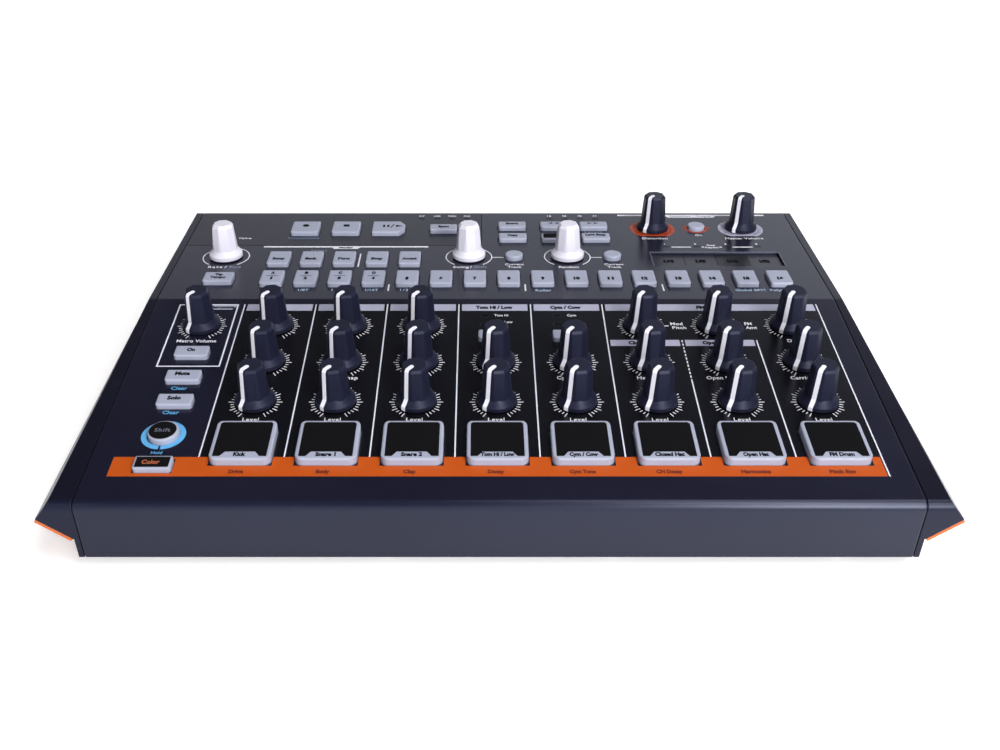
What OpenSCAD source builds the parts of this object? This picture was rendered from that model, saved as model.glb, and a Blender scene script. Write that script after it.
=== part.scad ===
// Desktop drum machine: a bent steel top cover between two moulded cheeks,
// eight pads, twenty-five knobs, three endless knobs and forty-two buttons.
// The front is -Y and +Z is up. The origin is on the table, in the middle of the machine.
// Two working frames are used: deck() has its origin on the kink of the panel, and
// ramp() is tilted with the front section, with +Z square to the panel.

/* [Case] */
// Distance between the middles of the two seams
seam_w = 288; // [282:1:300]
// Length of the level rear section of the panel
rear_len = 97.6; // [96:0.1:110]
// Length of the sloping front section, from the kink to the front face
ramp_len = 128.2; // [127:0.1:140]
// Angle by which the front section slopes to the user
ramp_a = 6.2; // [5:0.1:7.5]
// Height of the rear face
rear_h = 38.3; // [37:0.1:44]
// Thickness of the top cover's sheet
sheet_t = 1.5; // [1.2:0.1:1.8]
// Outer radius of the bend at the front edge
front_bend_r = 3; // [2.5:0.1:4]
// Outer radius of the bend at the rear edge
rear_bend_r = 2; // [1.9:0.1:3]
// Width of each seam
seam_gap = 0.4; // [0.2:0.1:0.8]
// Thickness of the bottom plate
base_t = 1.2; // [1:0.1:2]
// Height of a rubber foot
foot_h = 3.5; // [3:0.1:6]
// Radius of a rubber foot
foot_r = 7; // [5:0.5:9]
// Distance of a foot's middle from the edge of the bottom plate
foot_inset = 19; // [16:1:30]

/* [Cheeks] */
// Width of the level strip on top of a cheek, behind the kink
strip_w = 3.2; // [2.5:0.1:4.5]
// Distance from the seam to the crease in the outer face
crease_u = 8; // [7:0.1:9]
// Depth of that crease below the rear panel
crease_z = 9.6; // [9:0.1:10.5]
// Distance from the seam to the tip of the wing
tip_u = 13.3; // [12:0.1:15]
// Depth of the tip below the rear panel
tip_z = 16.4; // [15.5:0.1:17.5]
// Angle of the wing's underside
under_a = 39.5; // [36:0.5:43]
// Angle by which the wing falls in front of the kink
wing_fall = 1.75; // [1.2:0.05:2.4]
// Thickness of the leg below the wing
leg_t = 1.9; // [1.6:0.1:2.4]
// Thickness of the orange plate under the wing
trim_t = 1.2; // [0.8:0.1:1.6]

/* [Knobs] */
// Radius of a knob's skirt
skirt_r = 7.5; // [7:0.1:7.8]
// Height of the upright rim of the skirt
rim_h = 1.6; // [1.2:0.1:2.2]
// Height of the top of a dark knob above the panel
knob_top = 17.4; // [15:0.2:20]
// Height of the top of a white knob above the panel
encoder_top = 16.6; // [15:0.2:20]
// Gap between a knob and the panel
knob_lift = 0.7; // [0.5:0.1:1.2]
// Distance across the flats of a knob's body, at the skirt
flats_low = 11.5; // [10.8:0.1:12]
// Distance across the flats of a dark knob's body, at the top
flats_high = 9.4; // [8.8:0.1:10]
// Distance across the flats of a white knob's body, at the top
encoder_flats = 9; // [8.6:0.1:10]
// Width of the white pointer
pointer_w = 1.6; // [1:0.1:2]
// Angle from straight ahead to the pointer of a knob at its lowest setting
rest_a = 143.5; // [135:0.5:150]
// Radius of a shaft
shaft_r = 3; // [2.8:0.1:3.2]
// Running clearance of a shaft in its bush, on the radius
shaft_clear = 0.06; // [0.02:0.01:0.09]

/* [Knob places] */
// Middle of the metronome knob, from the middle of the machine
metro_x = -120.7; // [-122:0.1:-119]
// Place of the first column's left line
column_x = -105.8; // [-107:0.1:-105]
// Distance from one column to the next
column_pitch = 30.1; // [29.8:0.1:30.4]
// Distance from the kink to the first row of knobs
row_v = 20.8; // [20:0.1:21.5]
// Distance from one row of knobs to the next
row_pitch = 25.5; // [25.2:0.1:26]
// Middle of the first white knob
encoder_x = -122.7; // [-124:0.1:-121]
// Middle of the second white knob
encoder2_x = -11.7; // [-12.5:0.1:-11]
// Distance between the second and the third white knob
encoder_pitch = 45; // [44.5:0.1:45.5]
// Distance from the kink back to the white knobs
encoder_v = 43.2; // [42.5:0.1:44]
// Middle of the distortion knob
distortion_x = 76.4; // [75:0.1:78]
// Middle of the master level knob
master_x = 118.8; // [117:0.1:120]
// Distance from the kink back to those two knobs
master_v = 75.8; // [75:0.1:76.5]

/* [Pads] */
// Width of a pad
pad_w = 21.8; // [20:0.1:23]
// Depth of a pad
pad_d = 21.5; // [20:0.1:22.5]
// Corner radius of a pad
pad_r = 3; // [1.5:0.1:4]
// Height of a pad above the panel
pad_top = 3; // [2:0.1:4]
// Distance from the kink to the middles of the pads
pad_v = 97.2; // [96.5:0.1:98]
// Travel of a pad
pad_travel = 1; // [0.5:0.1:1.2]
// Margin of a pad beside its inlay
inlay_side = 1.45; // [1.2:0.05:2.5]
// Margin of a pad behind its inlay
inlay_rear = 1.2; // [1:0.05:2]
// Margin of a pad before its inlay
inlay_front = 1.5; // [1.2:0.05:2]

/* [Buttons] */
// Height of a button above the panel
button_top = 2; // [1.5:0.1:2.5]
// Travel of a button
button_travel = 1; // [0.5:0.1:1.2]
// Corner radius of a button
button_r = 1.3; // [0.8:0.1:1.6]
// Radius of the upper edges of a button or a pad
edge_r = 0.6; // [0.3:0.05:0.8]
// Gap between a button or a pad and its hole
hole_clear = 0.35; // [0.15:0.05:0.45]
// Width of a step button
step_w = 9.8; // [9:0.1:11]
// Depth of a step button
step_d = 13.3; // [12:0.1:14]
// Distance from one step button to the next
step_pitch = 14.82; // [14.7:0.01:14.9]
// Middle of the first step button
step_x = -97.8; // [-98.5:0.1:-97]
// Distance from the kink back to the step buttons
step_v = 18.3; // [17.8:0.1:19]
// Distance from the kink back to the mode buttons
mode_v = 38.9; // [38.3:0.1:39.5]
// Width of a wide button
wide_w = 13.2; // [12.8:0.1:14]
// Depth of a flat wide button
wide_d = 7; // [6.5:0.1:7.4]
// Depth of a transport button
transport_d = 13.2; // [12:0.1:14]
// Radius of a small round button
round_r = 4; // [3.5:0.1:4.4]
// Radius of the shift button
shift_r = 5.7; // [5:0.1:5.9]
// Height of the shift button above the panel
shift_top = 2.3; // [2:0.1:3]

/* [Touch strip] */
// Width of the window over the touch strip
strip_win_w = 59; // [56:0.5:62]
// Depth of that window
strip_win_d = 14.6; // [13:0.1:15.5]
// Middle of the window, from the middle of the machine
strip_x = 101.4; // [100:0.1:103]
// Distance from the kink back to the middle of the window
strip_v = 40.9; // [40.4:0.1:41.5]

/* [Inside] */
// Distance from the top of the panel down to the panel boards
board_drop = 10.5; // [10.4:0.1:11]
// Thickness of a circuit board
board_t = 1.6; // [1.2:0.1:1.8]
// Height of a key switch with its plunger
switch_h = 4.2; // [4:0.1:4.3]
// Radius of a shaft's bush
bush_r = 3.6; // [3.5:0.05:3.8]
// Depth of the rear sockets' middles below the rear panel
socket_z = 20; // [19.8:0.1:20.4]
// Height of the socket board above the bottom plate
socket_lift = 5.3; // [5:0.1:5.6]
// Radius of a case screw
screw_r = 1.5; // [1.3:0.05:1.6]
// Bore of the two large jacks
jack_bore_r = 3.2; // [3.18:0.01:3.25]
// Bore of the small jacks
mini_bore_r = 1.78; // [1.76:0.01:1.8]

/* [Hidden] */
$fn = 48;
eps = 0.01;

// Colours
steel_dark = [0.24, 0.24, 0.29];
cheek_dark = [0.2, 0.2, 0.24];
orange = [0.93, 0.44, 0.13];
knob_dark = [0.15, 0.16, 0.22];
knob_white = [0.9, 0.9, 0.92];
button_grey = [0.68, 0.69, 0.76];
inlay_black = [0.1, 0.1, 0.11];
board_green = [0.08, 0.3, 0.16];
metal = [0.7, 0.7, 0.72];
black = [0.07, 0.07, 0.08];

// Where the frames lie: the panel stands on feet, bottom plate and rear face, and the
// kink lies so that the machine's reach to the front and to the rear is the same.
nut_t = 2;
panel_z = foot_h + base_t + rear_h;
front_reach = (ramp_len - front_bend_r) * cos(ramp_a) - front_bend_r * sin(ramp_a) + front_bend_r;
rear_reach = rear_len + nut_t;
kink_y = (front_reach - rear_reach) / 2;

// A point of the side view, at distance v down the ramp and height h above it
function ramp_pt(v, h) = [-v * cos(ramp_a) - h * sin(ramp_a), h * cos(ramp_a) - v * sin(ramp_a)];
// The height h at which the front face, set in by i, meets the bottom
function face_foot(i) = ((ramp_len - i) * sin(ramp_a) - rear_h) / cos(ramp_a);
front_foot_y = ramp_pt(ramp_len, face_foot(0))[0];

cover_w = seam_w - seam_gap;
cheek_x = seam_w / 2 + seam_gap / 2;
lip_w = 13.5;
lip_screw = 8;
base_inset = 2.5;
flange_h = 21.5;
flange_gap = 1;

module deck() translate([0, kink_y, panel_z]) children();
module ramp() deck() rotate([ramp_a, 0, 0]) children();

// Places on the panel and in the rear face are those of a case of these three sizes;
// they spread when the case is made wider or deeper.
plan_w = 288;
plan_rear = 97.6;
plan_ramp = 128.2;
function spread_x(x) = x * seam_w / plan_w;
function spread_rear(v) = v * rear_len / plan_rear;
function spread_ramp(v) = v * ramp_len / plan_ramp;
// Places children on the ramp at x and at distance v from the kink
module on_ramp(x, v) ramp() ramp_place(x, v) children();
// Places children on the level section at x and at distance v behind the kink
module on_deck(x, v) deck() deck_place(x, v) children();
module ramp_place(x, v) translate([spread_x(x), -spread_ramp(v), 0]) children();
module deck_place(x, v) translate([spread_x(x), spread_rear(v), 0]) children();
// Extrudes a side view, drawn as (y, z), along X
module along_x(w) rotate([90, 0, 90]) linear_extrude(w, center = true) children();
// Extrudes a front view, drawn as (x, z), along +Y
module along_y(d) rotate([90, 0, 0]) translate([0, 0, -d]) linear_extrude(d) children();

// ---------------------------------------------------------------- layout
function column_mid(i) = column_x + column_pitch * (i - 0.5);
row_vs = [row_v, row_v + row_pitch, row_v + 2 * row_pitch];
ramp_knobs = concat([[metro_x, row_v]],
    [for (i = [1, 2, 3, 6, 7, 8]) [column_mid(i), row_vs[0]]],
    [for (i = [1 : 8]) [column_mid(i), row_vs[1]]],
    [for (i = [1 : 8]) [column_mid(i), row_vs[2]]]);
deck_knobs = [[distortion_x, master_v], [master_x, master_v]];
encoders = [[encoder_x, encoder_v], [encoder2_x, encoder_v], [encoder2_x + encoder_pitch, encoder_v]];

// A button is [x, v, width, depth]; a round one has its radius as the width and no depth
steps = [for (i = [0 : 15]) [step_x + step_pitch * i, step_v, step_w, step_d]];
modes = [for (i = [0 : 4]) [step_x + step_pitch * i, mode_v, step_w, step_d]];
transport_v = 74.3;
play_x = -50.3;
play_w = 15.4;
play_nose = 2.8;
transport = [[-90.3, transport_v, wide_w, transport_d], [-70.8, transport_v, wide_w, transport_d]];
edit_back_v = 77.3;
edit_front_v = 63.2;
edit_xs = [8.8, 29, 48];
edit_wide = concat([[-24.2, 74, wide_w - 0.2, wide_d]],
    [for (x = edit_xs) [x, edit_back_v, wide_w, wide_d]],
    [for (x = edit_xs) [x, edit_front_v, wide_w, wide_d]]);
round_x = 8.9;
on_x = 97.4;
edit_round = [[round_x, encoder_v - 0.5], [round_x + encoder_pitch - 0.1, encoder_v - 0.5],
    [on_x, master_v + 0.7]];
left_x = -120.7;
tap = [-121.3, 18.4, 12.8, 9.3];
channel_vs = [40.9, 57.1, 72.4, 108.4];
select_xs = [column_mid(4) - 4.1, column_mid(5) - 4.1];
select_v = 28.9;
select_w = 5.6;
channel = concat([for (v = channel_vs) [left_x, v, 13.4, wide_d]],
    [for (x = select_xs) [x, select_v, select_w, select_w + 0.3]]);
shift_v = 91.3;

lamp_w = 2.8;
lamp_d = 1;
lamp_deck = concat([for (x = [-35.3, -27.8, -20.4, -13]) [x, 88.7]],
    [for (i = [0 : 3]) [27.5 + 7.5 * i, 88.7]],
    [for (i = [-1.5 : 1.5]) [strip_x + 14.25 * i, strip_v + 14.1]]);
lamp_ramp = [for (x = select_xs) for (v = [12.6, 19.2]) [x - 0.1, v]];

stud_r = 2.5;
stud_deck = [[-135, 60], [-135, 88], [-60, 57], [0, 87], [64, 60], [135, 60], [135, 88], [-108, 30],
    [135, 10]];
stud_ramp = [[-137, 20], [-137, 112], [-45.6, 84], [-105.8, 58], [44.7, 84], [138, 20], [138, 112],
    [0, 8]];

// ---------------------------------------------------------------- plain shapes
module round_rect(w, d, r) {
    square([w - 2 * r, d], center = true);
    square([w, d - 2 * r], center = true);
    for (x = [-1, 1], y = [-1, 1]) translate([x * (w / 2 - r), y * (d / 2 - r)]) circle(r);
}

// The front view of a cap whose upper edges are rounded, reaching down to low
module cap_front(w, top, low) {
    translate([-w / 2, low]) square([w, top - low - edge_r]);
    translate([-w / 2 + edge_r, low]) square([w - 2 * edge_r, top - low]);
    for (x = [-1, 1]) translate([x * (w / 2 - edge_r), top - edge_r]) circle(edge_r, $fn = 24);
}

// The part of a cap above the flange, with all its upper edges rounded
module cap(w, d, r, top, low) {
    intersection() {
        translate([0, 0, low]) linear_extrude(top - low) round_rect(w, d, r);
        translate([0, -d / 2, 0]) along_y(d) cap_front(w, top, low);
        along_x(w) cap_front(d, top, low);
    }
}

flange_out = 0.8;
flange_t = 0.9;
flange_top = -sheet_t - 0.3;
cap_low = flange_top - flange_t;
stem_low = switch_h - board_drop + 0.25;
stem_w = 4;

// A button of one rubber moulding: cap, flange that stops it under the panel, and stem
module button(w, d, top = button_top, travel = button_travel) {
    cap(w, d, button_r, top, cap_low);
    translate([0, 0, cap_low]) linear_extrude(flange_t)
        round_rect(w + 2 * flange_out, d + 2 * flange_out, button_r + flange_out);
    translate([0, 0, stem_low + travel]) linear_extrude(cap_low - stem_low - travel + eps)
        square(stem_w, center = true);
}

module round_button(r, top = button_top) {
    rotate_extrude() {
        translate([0, cap_low]) square([r, top - cap_low - edge_r]);
        translate([0, cap_low]) square([r - edge_r, top - cap_low]);
        translate([r - edge_r, top - edge_r]) circle(edge_r, $fn = 24);
        translate([0, cap_low]) square([r + flange_out, flange_t]);
        translate([0, stem_low + button_travel])
            square([stem_w / 2, cap_low - stem_low - button_travel + eps]);
    }
}

module play_outline(out) {
    w = play_w / 2 + out;
    d = transport_d / 2 + out;
    polygon([[-w, -d], [w - play_nose, -d], [w, -2], [w, 2], [w - play_nose, d], [-w, d]]);
}

module play_button() {
    difference() {
        translate([0, 0, cap_low]) linear_extrude(button_top - cap_low) play_outline(0);
        // The bevel along the rear and front edges
        for (m = [0, 1]) mirror([0, m, 0]) translate([0, transport_d / 2, button_top]) rotate([45, 0, 0])
            cube([play_w + 1, edge_r, edge_r], center = true);
    }
    translate([0, 0, cap_low]) linear_extrude(flange_t) play_outline(flange_out);
    translate([0, 0, stem_low + button_travel])
        linear_extrude(cap_low - stem_low - button_travel + eps) square(stem_w, center = true);
}

// ---------------------------------------------------------------- case
// The side view of the case set in by i, from the front face over the panel to the rear
module side_view(i = 0, low = 0) {
    polygon([
        [rear_len - i, -rear_h - low],
        [rear_len - i, -rear_bend_r],
        [rear_len - rear_bend_r, -i],
        [i * tan(ramp_a / 2), -i],
        ramp_pt(ramp_len - front_bend_r, -i),
        ramp_pt(ramp_len - i, -front_bend_r),
        ramp_pt(ramp_len - i, face_foot(i)),
        [ramp_pt(ramp_len - i, face_foot(i))[0], -rear_h - low]]);
    translate([rear_len - rear_bend_r, -rear_bend_r]) circle(rear_bend_r - i);
    translate(ramp_pt(ramp_len - front_bend_r, -front_bend_r)) circle(front_bend_r - i);
}

module lips_view() {
    intersection() {
        side_view();
        union() {
            translate([front_foot_y - 5, -rear_h]) square([lip_w + 5, sheet_t]);
            translate([rear_len - lip_w, -rear_h]) square([lip_w + 5, sheet_t]);
        }
    }
}

// Bottom screws go up into the lips; each place is [x, distance behind the kink]
screw_pitch = spread_x(80);
bottom_screws = [for (k = [-1.5 : 1.5], y = [front_foot_y + lip_screw, rear_len - lip_screw])
    [k * screw_pitch, y]];
// Cheek screws go out through the bottom plate's flanges; each is a distance behind the kink
cheek_screws = [front_foot_y + 28.8, -8, rear_len - 19.6];
function wing_dz(y) = y < 0 ? y * tan(wing_fall) : 0;
function cheek_screw_z(y) = wing_dz(y) - 20.6;

// Everything that comes through the panel, as holes
module ramp_holes() {
    for (p = ramp_knobs) ramp_place(p[0], p[1]) circle(bush_r + 0.2);
    for (i = [1 : 8]) ramp_place(column_mid(i), pad_v)
        round_rect(pad_w + 2 * hole_clear, pad_d + 2 * hole_clear, pad_r + hole_clear);
    for (b = channel) ramp_place(b[0], b[1])
        round_rect(b[2] + 2 * hole_clear, b[3] + 2 * hole_clear, button_r + hole_clear);
    ramp_place(left_x, shift_v) circle(shift_r + hole_clear);
    for (p = lamp_ramp) ramp_place(p[0], p[1]) square([lamp_w + 0.2, lamp_d + 0.2], center = true);
}

module deck_holes() {
    for (p = concat(deck_knobs, encoders)) deck_place(p[0], p[1]) circle(bush_r + 0.2);
    for (b = concat(steps, modes, transport, edit_wide, [tap])) deck_place(b[0], b[1])
        round_rect(b[2] + 2 * hole_clear, b[3] + 2 * hole_clear, button_r + hole_clear);
    deck_place(play_x, transport_v) play_outline(hole_clear);
    for (p = edit_round) deck_place(p[0], p[1]) circle(round_r + hole_clear);
    for (p = lamp_deck) deck_place(p[0], p[1]) square([lamp_w + 0.2, lamp_d + 0.2], center = true);
    deck_place(strip_x, strip_v) square([strip_win_w, strip_win_d], center = true);
}

hole_h = 2 * sheet_t + 1;

// One sheet bent at the kink, the front edge, the rear edge and the two lips
module top_cover() color(steel_dark) {
    difference() {
        deck() along_x(cover_w) {
            difference() {
                side_view();
                side_view(sheet_t, 5);
            }
            lips_view();
        }
        ramp() translate([0, 0, -hole_h / 2]) linear_extrude(hole_h) ramp_holes();
        deck() translate([0, 0, -hole_h / 2]) linear_extrude(hole_h) deck_holes();
        deck() translate([0, rear_len + 1, 0]) rotate([90, 0, 0]) linear_extrude(sheet_t + 2) rear_holes();
        for (p = bottom_screws) deck() translate([p[0], p[1], -rear_h - 1])
            cylinder(sheet_t + 2, r = screw_r);
    }
    // Studs that carry the two panel boards
    for (p = stud_deck) on_deck(p[0], p[1]) translate([0, 0, -board_drop])
        cylinder(board_drop - sheet_t + 0.2, r = stud_r);
    for (p = stud_ramp) on_ramp(p[0], p[1]) translate([0, 0, -board_drop])
        cylinder(board_drop - sheet_t + 0.2, r = stud_r);
}

base_front_y = front_foot_y + base_inset;
base_rear_y = rear_len - base_inset;
flange_front_y = front_foot_y + lip_w + flange_gap;
flange_rear_y = rear_len - lip_w - flange_gap;
socket_board_z = -rear_h + socket_lift;
socket_board_d = 46;
socket_board_in = 12;
socket_board_w = seam_w - 2 * socket_board_in;
post_in = 8;
post_xs = [for (m = [-1, 1], x = [socket_board_w / 2 - post_in, screw_pitch / 2]) m * x];
post_ys = [rear_len - 21, rear_len - 42];

// The bottom plate with a flange at each side for the cheeks and posts for the socket board
module bottom_cover() color(steel_dark) deck() {
    difference() {
        union() {
            translate([-cheek_x, base_front_y, -rear_h - base_t])
                cube([2 * cheek_x, base_rear_y - base_front_y, base_t]);
            for (m = [0, 1]) mirror([m, 0, 0]) translate([cheek_x - base_t, flange_front_y, -rear_h - eps])
                cube([base_t, flange_rear_y - flange_front_y, flange_h]);
            for (x = post_xs, y = post_ys) translate([x, y, -rear_h - eps])
                cylinder(socket_lift + eps, r = 3);
        }
        for (p = bottom_screws) translate([p[0], p[1], -rear_h - base_t - 1])
            cylinder(base_t + 2, r = screw_r + 0.2);
        for (m = [0, 1], y = cheek_screws) mirror([m, 0, 0])
            translate([cheek_x - base_t - 1, y, cheek_screw_z(y)])
                rotate([0, 90, 0]) cylinder(base_t + 2, r = screw_r + 0.2);
        // Cooling slots under the middle
        for (x = [-60 : 8 : 60]) translate([x, -30, -rear_h - base_t / 2])
            cube([2.4, 40, base_t + 1], center = true);
    }
}

// ---------------------------------------------------------------- cheeks
seat_drop = 0.4;
seat_start = [tip_u, -tip_z - seat_drop];
seat_end = [leg_t + 0.4, seat_start[1] - (tip_u - leg_t - 0.4) * tan(under_a)];

// Both sections have their heights multiplied by k
module wing_view(k) {
    rise = 4;
    run = (crease_u - strip_w) / crease_z * rise;
    points = [[0, rise], [strip_w - run, rise], [crease_u, -crease_z], [tip_u - 0.1, -tip_z], seat_start,
        seat_end, [0, seat_end[1]]];
    polygon([for (p = points) [p[0], p[1] * k]]);
}

module trim_view(k) {
    along = [cos(under_a), sin(under_a)];
    down = [sin(under_a), -cos(under_a)] * trim_t;
    outer = seat_start - along * 0.2;
    points = [seat_end, outer, outer + down, seat_end + down];
    polygon([for (p = points) [p[0], p[1] * k]]);
}

// Sweeps a section to the rear, and a second one to the front along a line that falls slightly.
// The second is lower by the cosine of the fall, so that the two meet on the kink.
module wing_sweep() {
    overrun = 5;
    translate([cheek_x, 0, 0]) along_y(rear_len + overrun) children(0);
    intersection() {
        translate([cheek_x, 0, 0]) rotate([wing_fall, 0, 0]) translate([0, -ramp_len - overrun, 0])
            along_y(ramp_len + 2 * overrun) children(1);
        translate([0, -2 * ramp_len, -2 * rear_h]) cube([cheek_x + 2 * tip_u, 2 * ramp_len, 3 * rear_h]);
    }
}

module right_cheek_form() deck() {
    difference() {
        intersection() {
            along_x(2 * cheek_x + 60) side_view();
            union() {
                wing_sweep() {
                    wing_view(1);
                    wing_view(cos(wing_fall));
                }
                translate([cheek_x, -200, -rear_h - 5]) cube([leg_t, 400, rear_h + 10]);
            }
        }
        for (y = cheek_screws) translate([cheek_x - 1, y, cheek_screw_z(y)])
            rotate([0, 90, 0]) cylinder(6.4, r = screw_r);
    }
}

module left_cheek() color(cheek_dark) mirror([1, 0, 0]) right_cheek_form();
module right_cheek() color(cheek_dark) right_cheek_form();

// The two orange plates that lie against the undersides of the wings
module wing_plates() color(orange) {
    for (m = [0, 1]) mirror([m, 0, 0]) deck() intersection() {
        along_x(2 * cheek_x + 60) side_view();
        wing_sweep() {
            trim_view(1);
            trim_view(cos(wing_fall));
        }
    }
}

foot_x = cheek_x - foot_inset;
foot_ys = [base_front_y + foot_inset, base_rear_y - foot_inset];

module rubber_feet() color(black) {
    for (x = [-foot_x, foot_x], y = foot_ys) translate([x, kink_y + y, 0]) rotate_extrude()
        polygon([[0, 0], [foot_r - 1, 0], [foot_r, 1], [foot_r, foot_h], [0, foot_h]]);
}

// A pan-head screw that points up, with its head below z = 0
module screw(length) {
    head_r = 2.75;
    head_h = 1.8;
    difference() {
        union() {
            cylinder(length, r = screw_r - 0.05);
            translate([0, 0, -head_h]) cylinder(head_h, r = head_r);
        }
        translate([0, 0, -head_h - eps]) for (a = [0, 90]) rotate(a)
            translate([-1.6, -0.4, 0]) cube([3.2, 0.8, 1]);
    }
}

module case_screws() color(metal) deck() {
    for (p = bottom_screws) translate([p[0], p[1], -rear_h - base_t]) screw(5);
    for (m = [0, 1], y = cheek_screws) mirror([m, 0, 0])
        translate([cheek_x - base_t, y, cheek_screw_z(y)]) rotate([0, 90, 0]) screw(6);
}

// ---------------------------------------------------------------- boards and parts on them
board_in = 5;
board_near = 4;
front_board_end = 7.2;
rear_board_end = 5.6;
board_w = seam_w - 2 * board_in;
front_board_d = ramp_len - front_board_end - board_near;
rear_board_d = rear_len - rear_board_end - board_near;

module front_board() color(board_green) ramp()
    translate([-board_w / 2, -board_near - front_board_d, -board_drop - board_t])
        cube([board_w, front_board_d, board_t]);

module rear_board() color(board_green) deck()
    translate([-board_w / 2, board_near, -board_drop - board_t]) cube([board_w, rear_board_d, board_t]);

module socket_board() color(board_green) deck()
    translate([-socket_board_w / 2, rear_len - sheet_t - 1 - socket_board_d, socket_board_z])
        cube([socket_board_w, socket_board_d, board_t]);

// A potentiometer or encoder with the bush that its shaft turns in
module rotary_body(w, d, h) {
    difference() {
        union() {
            translate([-w / 2, -d / 2, -board_drop]) cube([w, d, h]);
            translate([0, 0, -board_drop + h - eps]) cylinder(board_drop - h + 0.3, r = bush_r - 0.05);
        }
        translate([0, 0, -board_drop + 0.8]) cylinder(board_drop + 1, r = shaft_r + shaft_clear);
    }
}

module rotary_controls() color(metal) {
    for (p = ramp_knobs) on_ramp(p[0], p[1]) rotary_body(9.8, 11, 5.4);
    for (p = deck_knobs) on_deck(p[0], p[1]) rotary_body(9.8, 11, 5.4);
    for (p = encoders) on_deck(p[0], p[1]) rotary_body(12, 12.6, 6);
}

module key_switch() {
    translate([-3, -3, -board_drop]) cube([6, 6, switch_h - 0.8]);
    translate([0, 0, -board_drop]) cylinder(switch_h, r = 1.7);
}

module key_switches() color(black) {
    for (b = channel) on_ramp(b[0], b[1]) key_switch();
    on_ramp(left_x, shift_v) key_switch();
    for (b = concat(steps, modes, transport, edit_wide, edit_round, [tap, [play_x, transport_v]]))
        on_deck(b[0], b[1]) key_switch();
}

sensor_r = 6;
module pad_sensors() color(black) {
    for (i = [1 : 8]) on_ramp(column_mid(i), pad_v) translate([0, 0, -board_drop])
        cylinder(switch_h, r = sensor_r);
}

module touch_strip() color(black) on_deck(strip_x, strip_v) {
    translate([0, 0, -sheet_t - board_t]) linear_extrude(board_t)
        square([strip_win_w + 3, strip_win_d + 3], center = true);
}

module lamp_window() translate([-lamp_w / 2, -lamp_d / 2, -board_drop])
    cube([lamp_w, lamp_d, board_drop + 0.05]);

module lamp_windows() color(black) {
    for (p = lamp_deck) on_deck(p[0], p[1]) lamp_window();
    for (p = lamp_ramp) on_ramp(p[0], p[1]) lamp_window();
}

// ---------------------------------------------------------------- rear sockets
large_xs = [-118, -97];
mini_xs = [-78, -66, -54, -42, -26, -10, 4];
din_xs = [28, 54];
usb_x = 77;
power_x = 96;
switch_x = 118;
din_r = 7.6;
usb_w = 12;
usb_h = 10.8;
power_w = 10;
bezel_w = 15;
bezel_h = 11.5;
housing_w = 13;
housing_h = 9.8;
large_bush_r = 4.6;
large_nut_r = 7.2;
large_w = 15.5;
large_h = 7.3;
large_d = 26;
mini_bush_r = 3;
mini_nut_r = 4.6;
mini_w = 9;
mini_h = 5.5;
mini_d = 11;
din_w = 19;
din_h = 7.3;
din_d = 12;

// Holes in the rear face, drawn as seen from the front, in x and z
module rear_holes() {
    for (x = large_xs) translate([spread_x(x), -socket_z]) circle(large_bush_r + 0.2);
    for (x = mini_xs) translate([spread_x(x), -socket_z]) circle(mini_bush_r + 0.2);
    for (x = din_xs) translate([spread_x(x), -socket_z]) circle(din_r + 0.2);
    translate([spread_x(usb_x), -socket_z]) square([usb_w + 0.4, usb_h + 0.4], center = true);
    translate([spread_x(power_x), -socket_z]) square([power_w + 0.4, power_w + 0.4], center = true);
    translate([spread_x(switch_x), -socket_z]) square([housing_w + 0.4, housing_h + 0.4], center = true);
}

// Places children with their axis on a socket's middle, +Z to the rear, z = 0 on the rear face
module at_socket(x) deck() translate([spread_x(x), rear_len, -socket_z]) rotate([-90, 0, 0]) children();

socket_floor = -rear_h + socket_lift + board_t + socket_z;

// A block that stands on the socket board behind the rear face
module socket_block(w, top, d, gap = 0.3) {
    translate([-w / 2, -top, -sheet_t - gap - d]) cube([w, top - socket_floor, d]);
}

module threaded_jack(x, w, top, d, bush, bore, nut_r) {
    at_socket(x) difference() {
        union() {
            socket_block(w, top, d);
            translate([0, 0, -sheet_t - 1]) cylinder(sheet_t + 1 + nut_t, r = bush);
            cylinder(nut_t - 0.4, r = nut_r, $fn = 6);
        }
        translate([0, 0, -d]) cylinder(d + nut_t + 1, r = bore);
    }
}

module din_socket(x) {
    at_socket(x) difference() {
        union() {
            socket_block(din_w, din_h, din_d);
            translate([0, 0, -sheet_t - 1]) cylinder(sheet_t + 1.3, r = din_r);
        }
        for (a = [-90, -45, 0, 45, 90]) rotate(a) translate([0, 3.5, -8]) cylinder(10, r = 0.8);
        translate([-1.2, -din_r - 1, -1]) cube([2.4, 2.4, 3]);
    }
}

module usb_socket() {
    at_socket(usb_x) {
        difference() {
            union() {
                translate([-usb_w / 2, -usb_h / 2, -16]) cube([usb_w, usb_h, 16.4]);
                socket_block(usb_w, usb_h / 2, 14);
            }
            translate([-4.2, -3.9, -9]) cube([8.4, 7.8, 10]);
        }
        translate([-2.8, -1.6, -9 - eps]) cube([5.6, 3.2, 8]);
    }
}

power_bore_r = 3.1;
module power_inlet() {
    at_socket(power_x) {
        difference() {
            union() {
                translate([-power_w / 2, -power_w / 2, -13]) cube([power_w, power_w, 13.4]);
                socket_block(power_w, power_w / 2, 12);
            }
            translate([0, 0, -10]) cylinder(11, r = power_bore_r);
        }
        translate([0, 0, -10 - eps]) cylinder(9, r = 1);
    }
}

pivot_z = -3;
pivot_r = 1;
rocker_w = 10.2;
rocker_h = 7.6;
rocker_a = 8;

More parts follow.
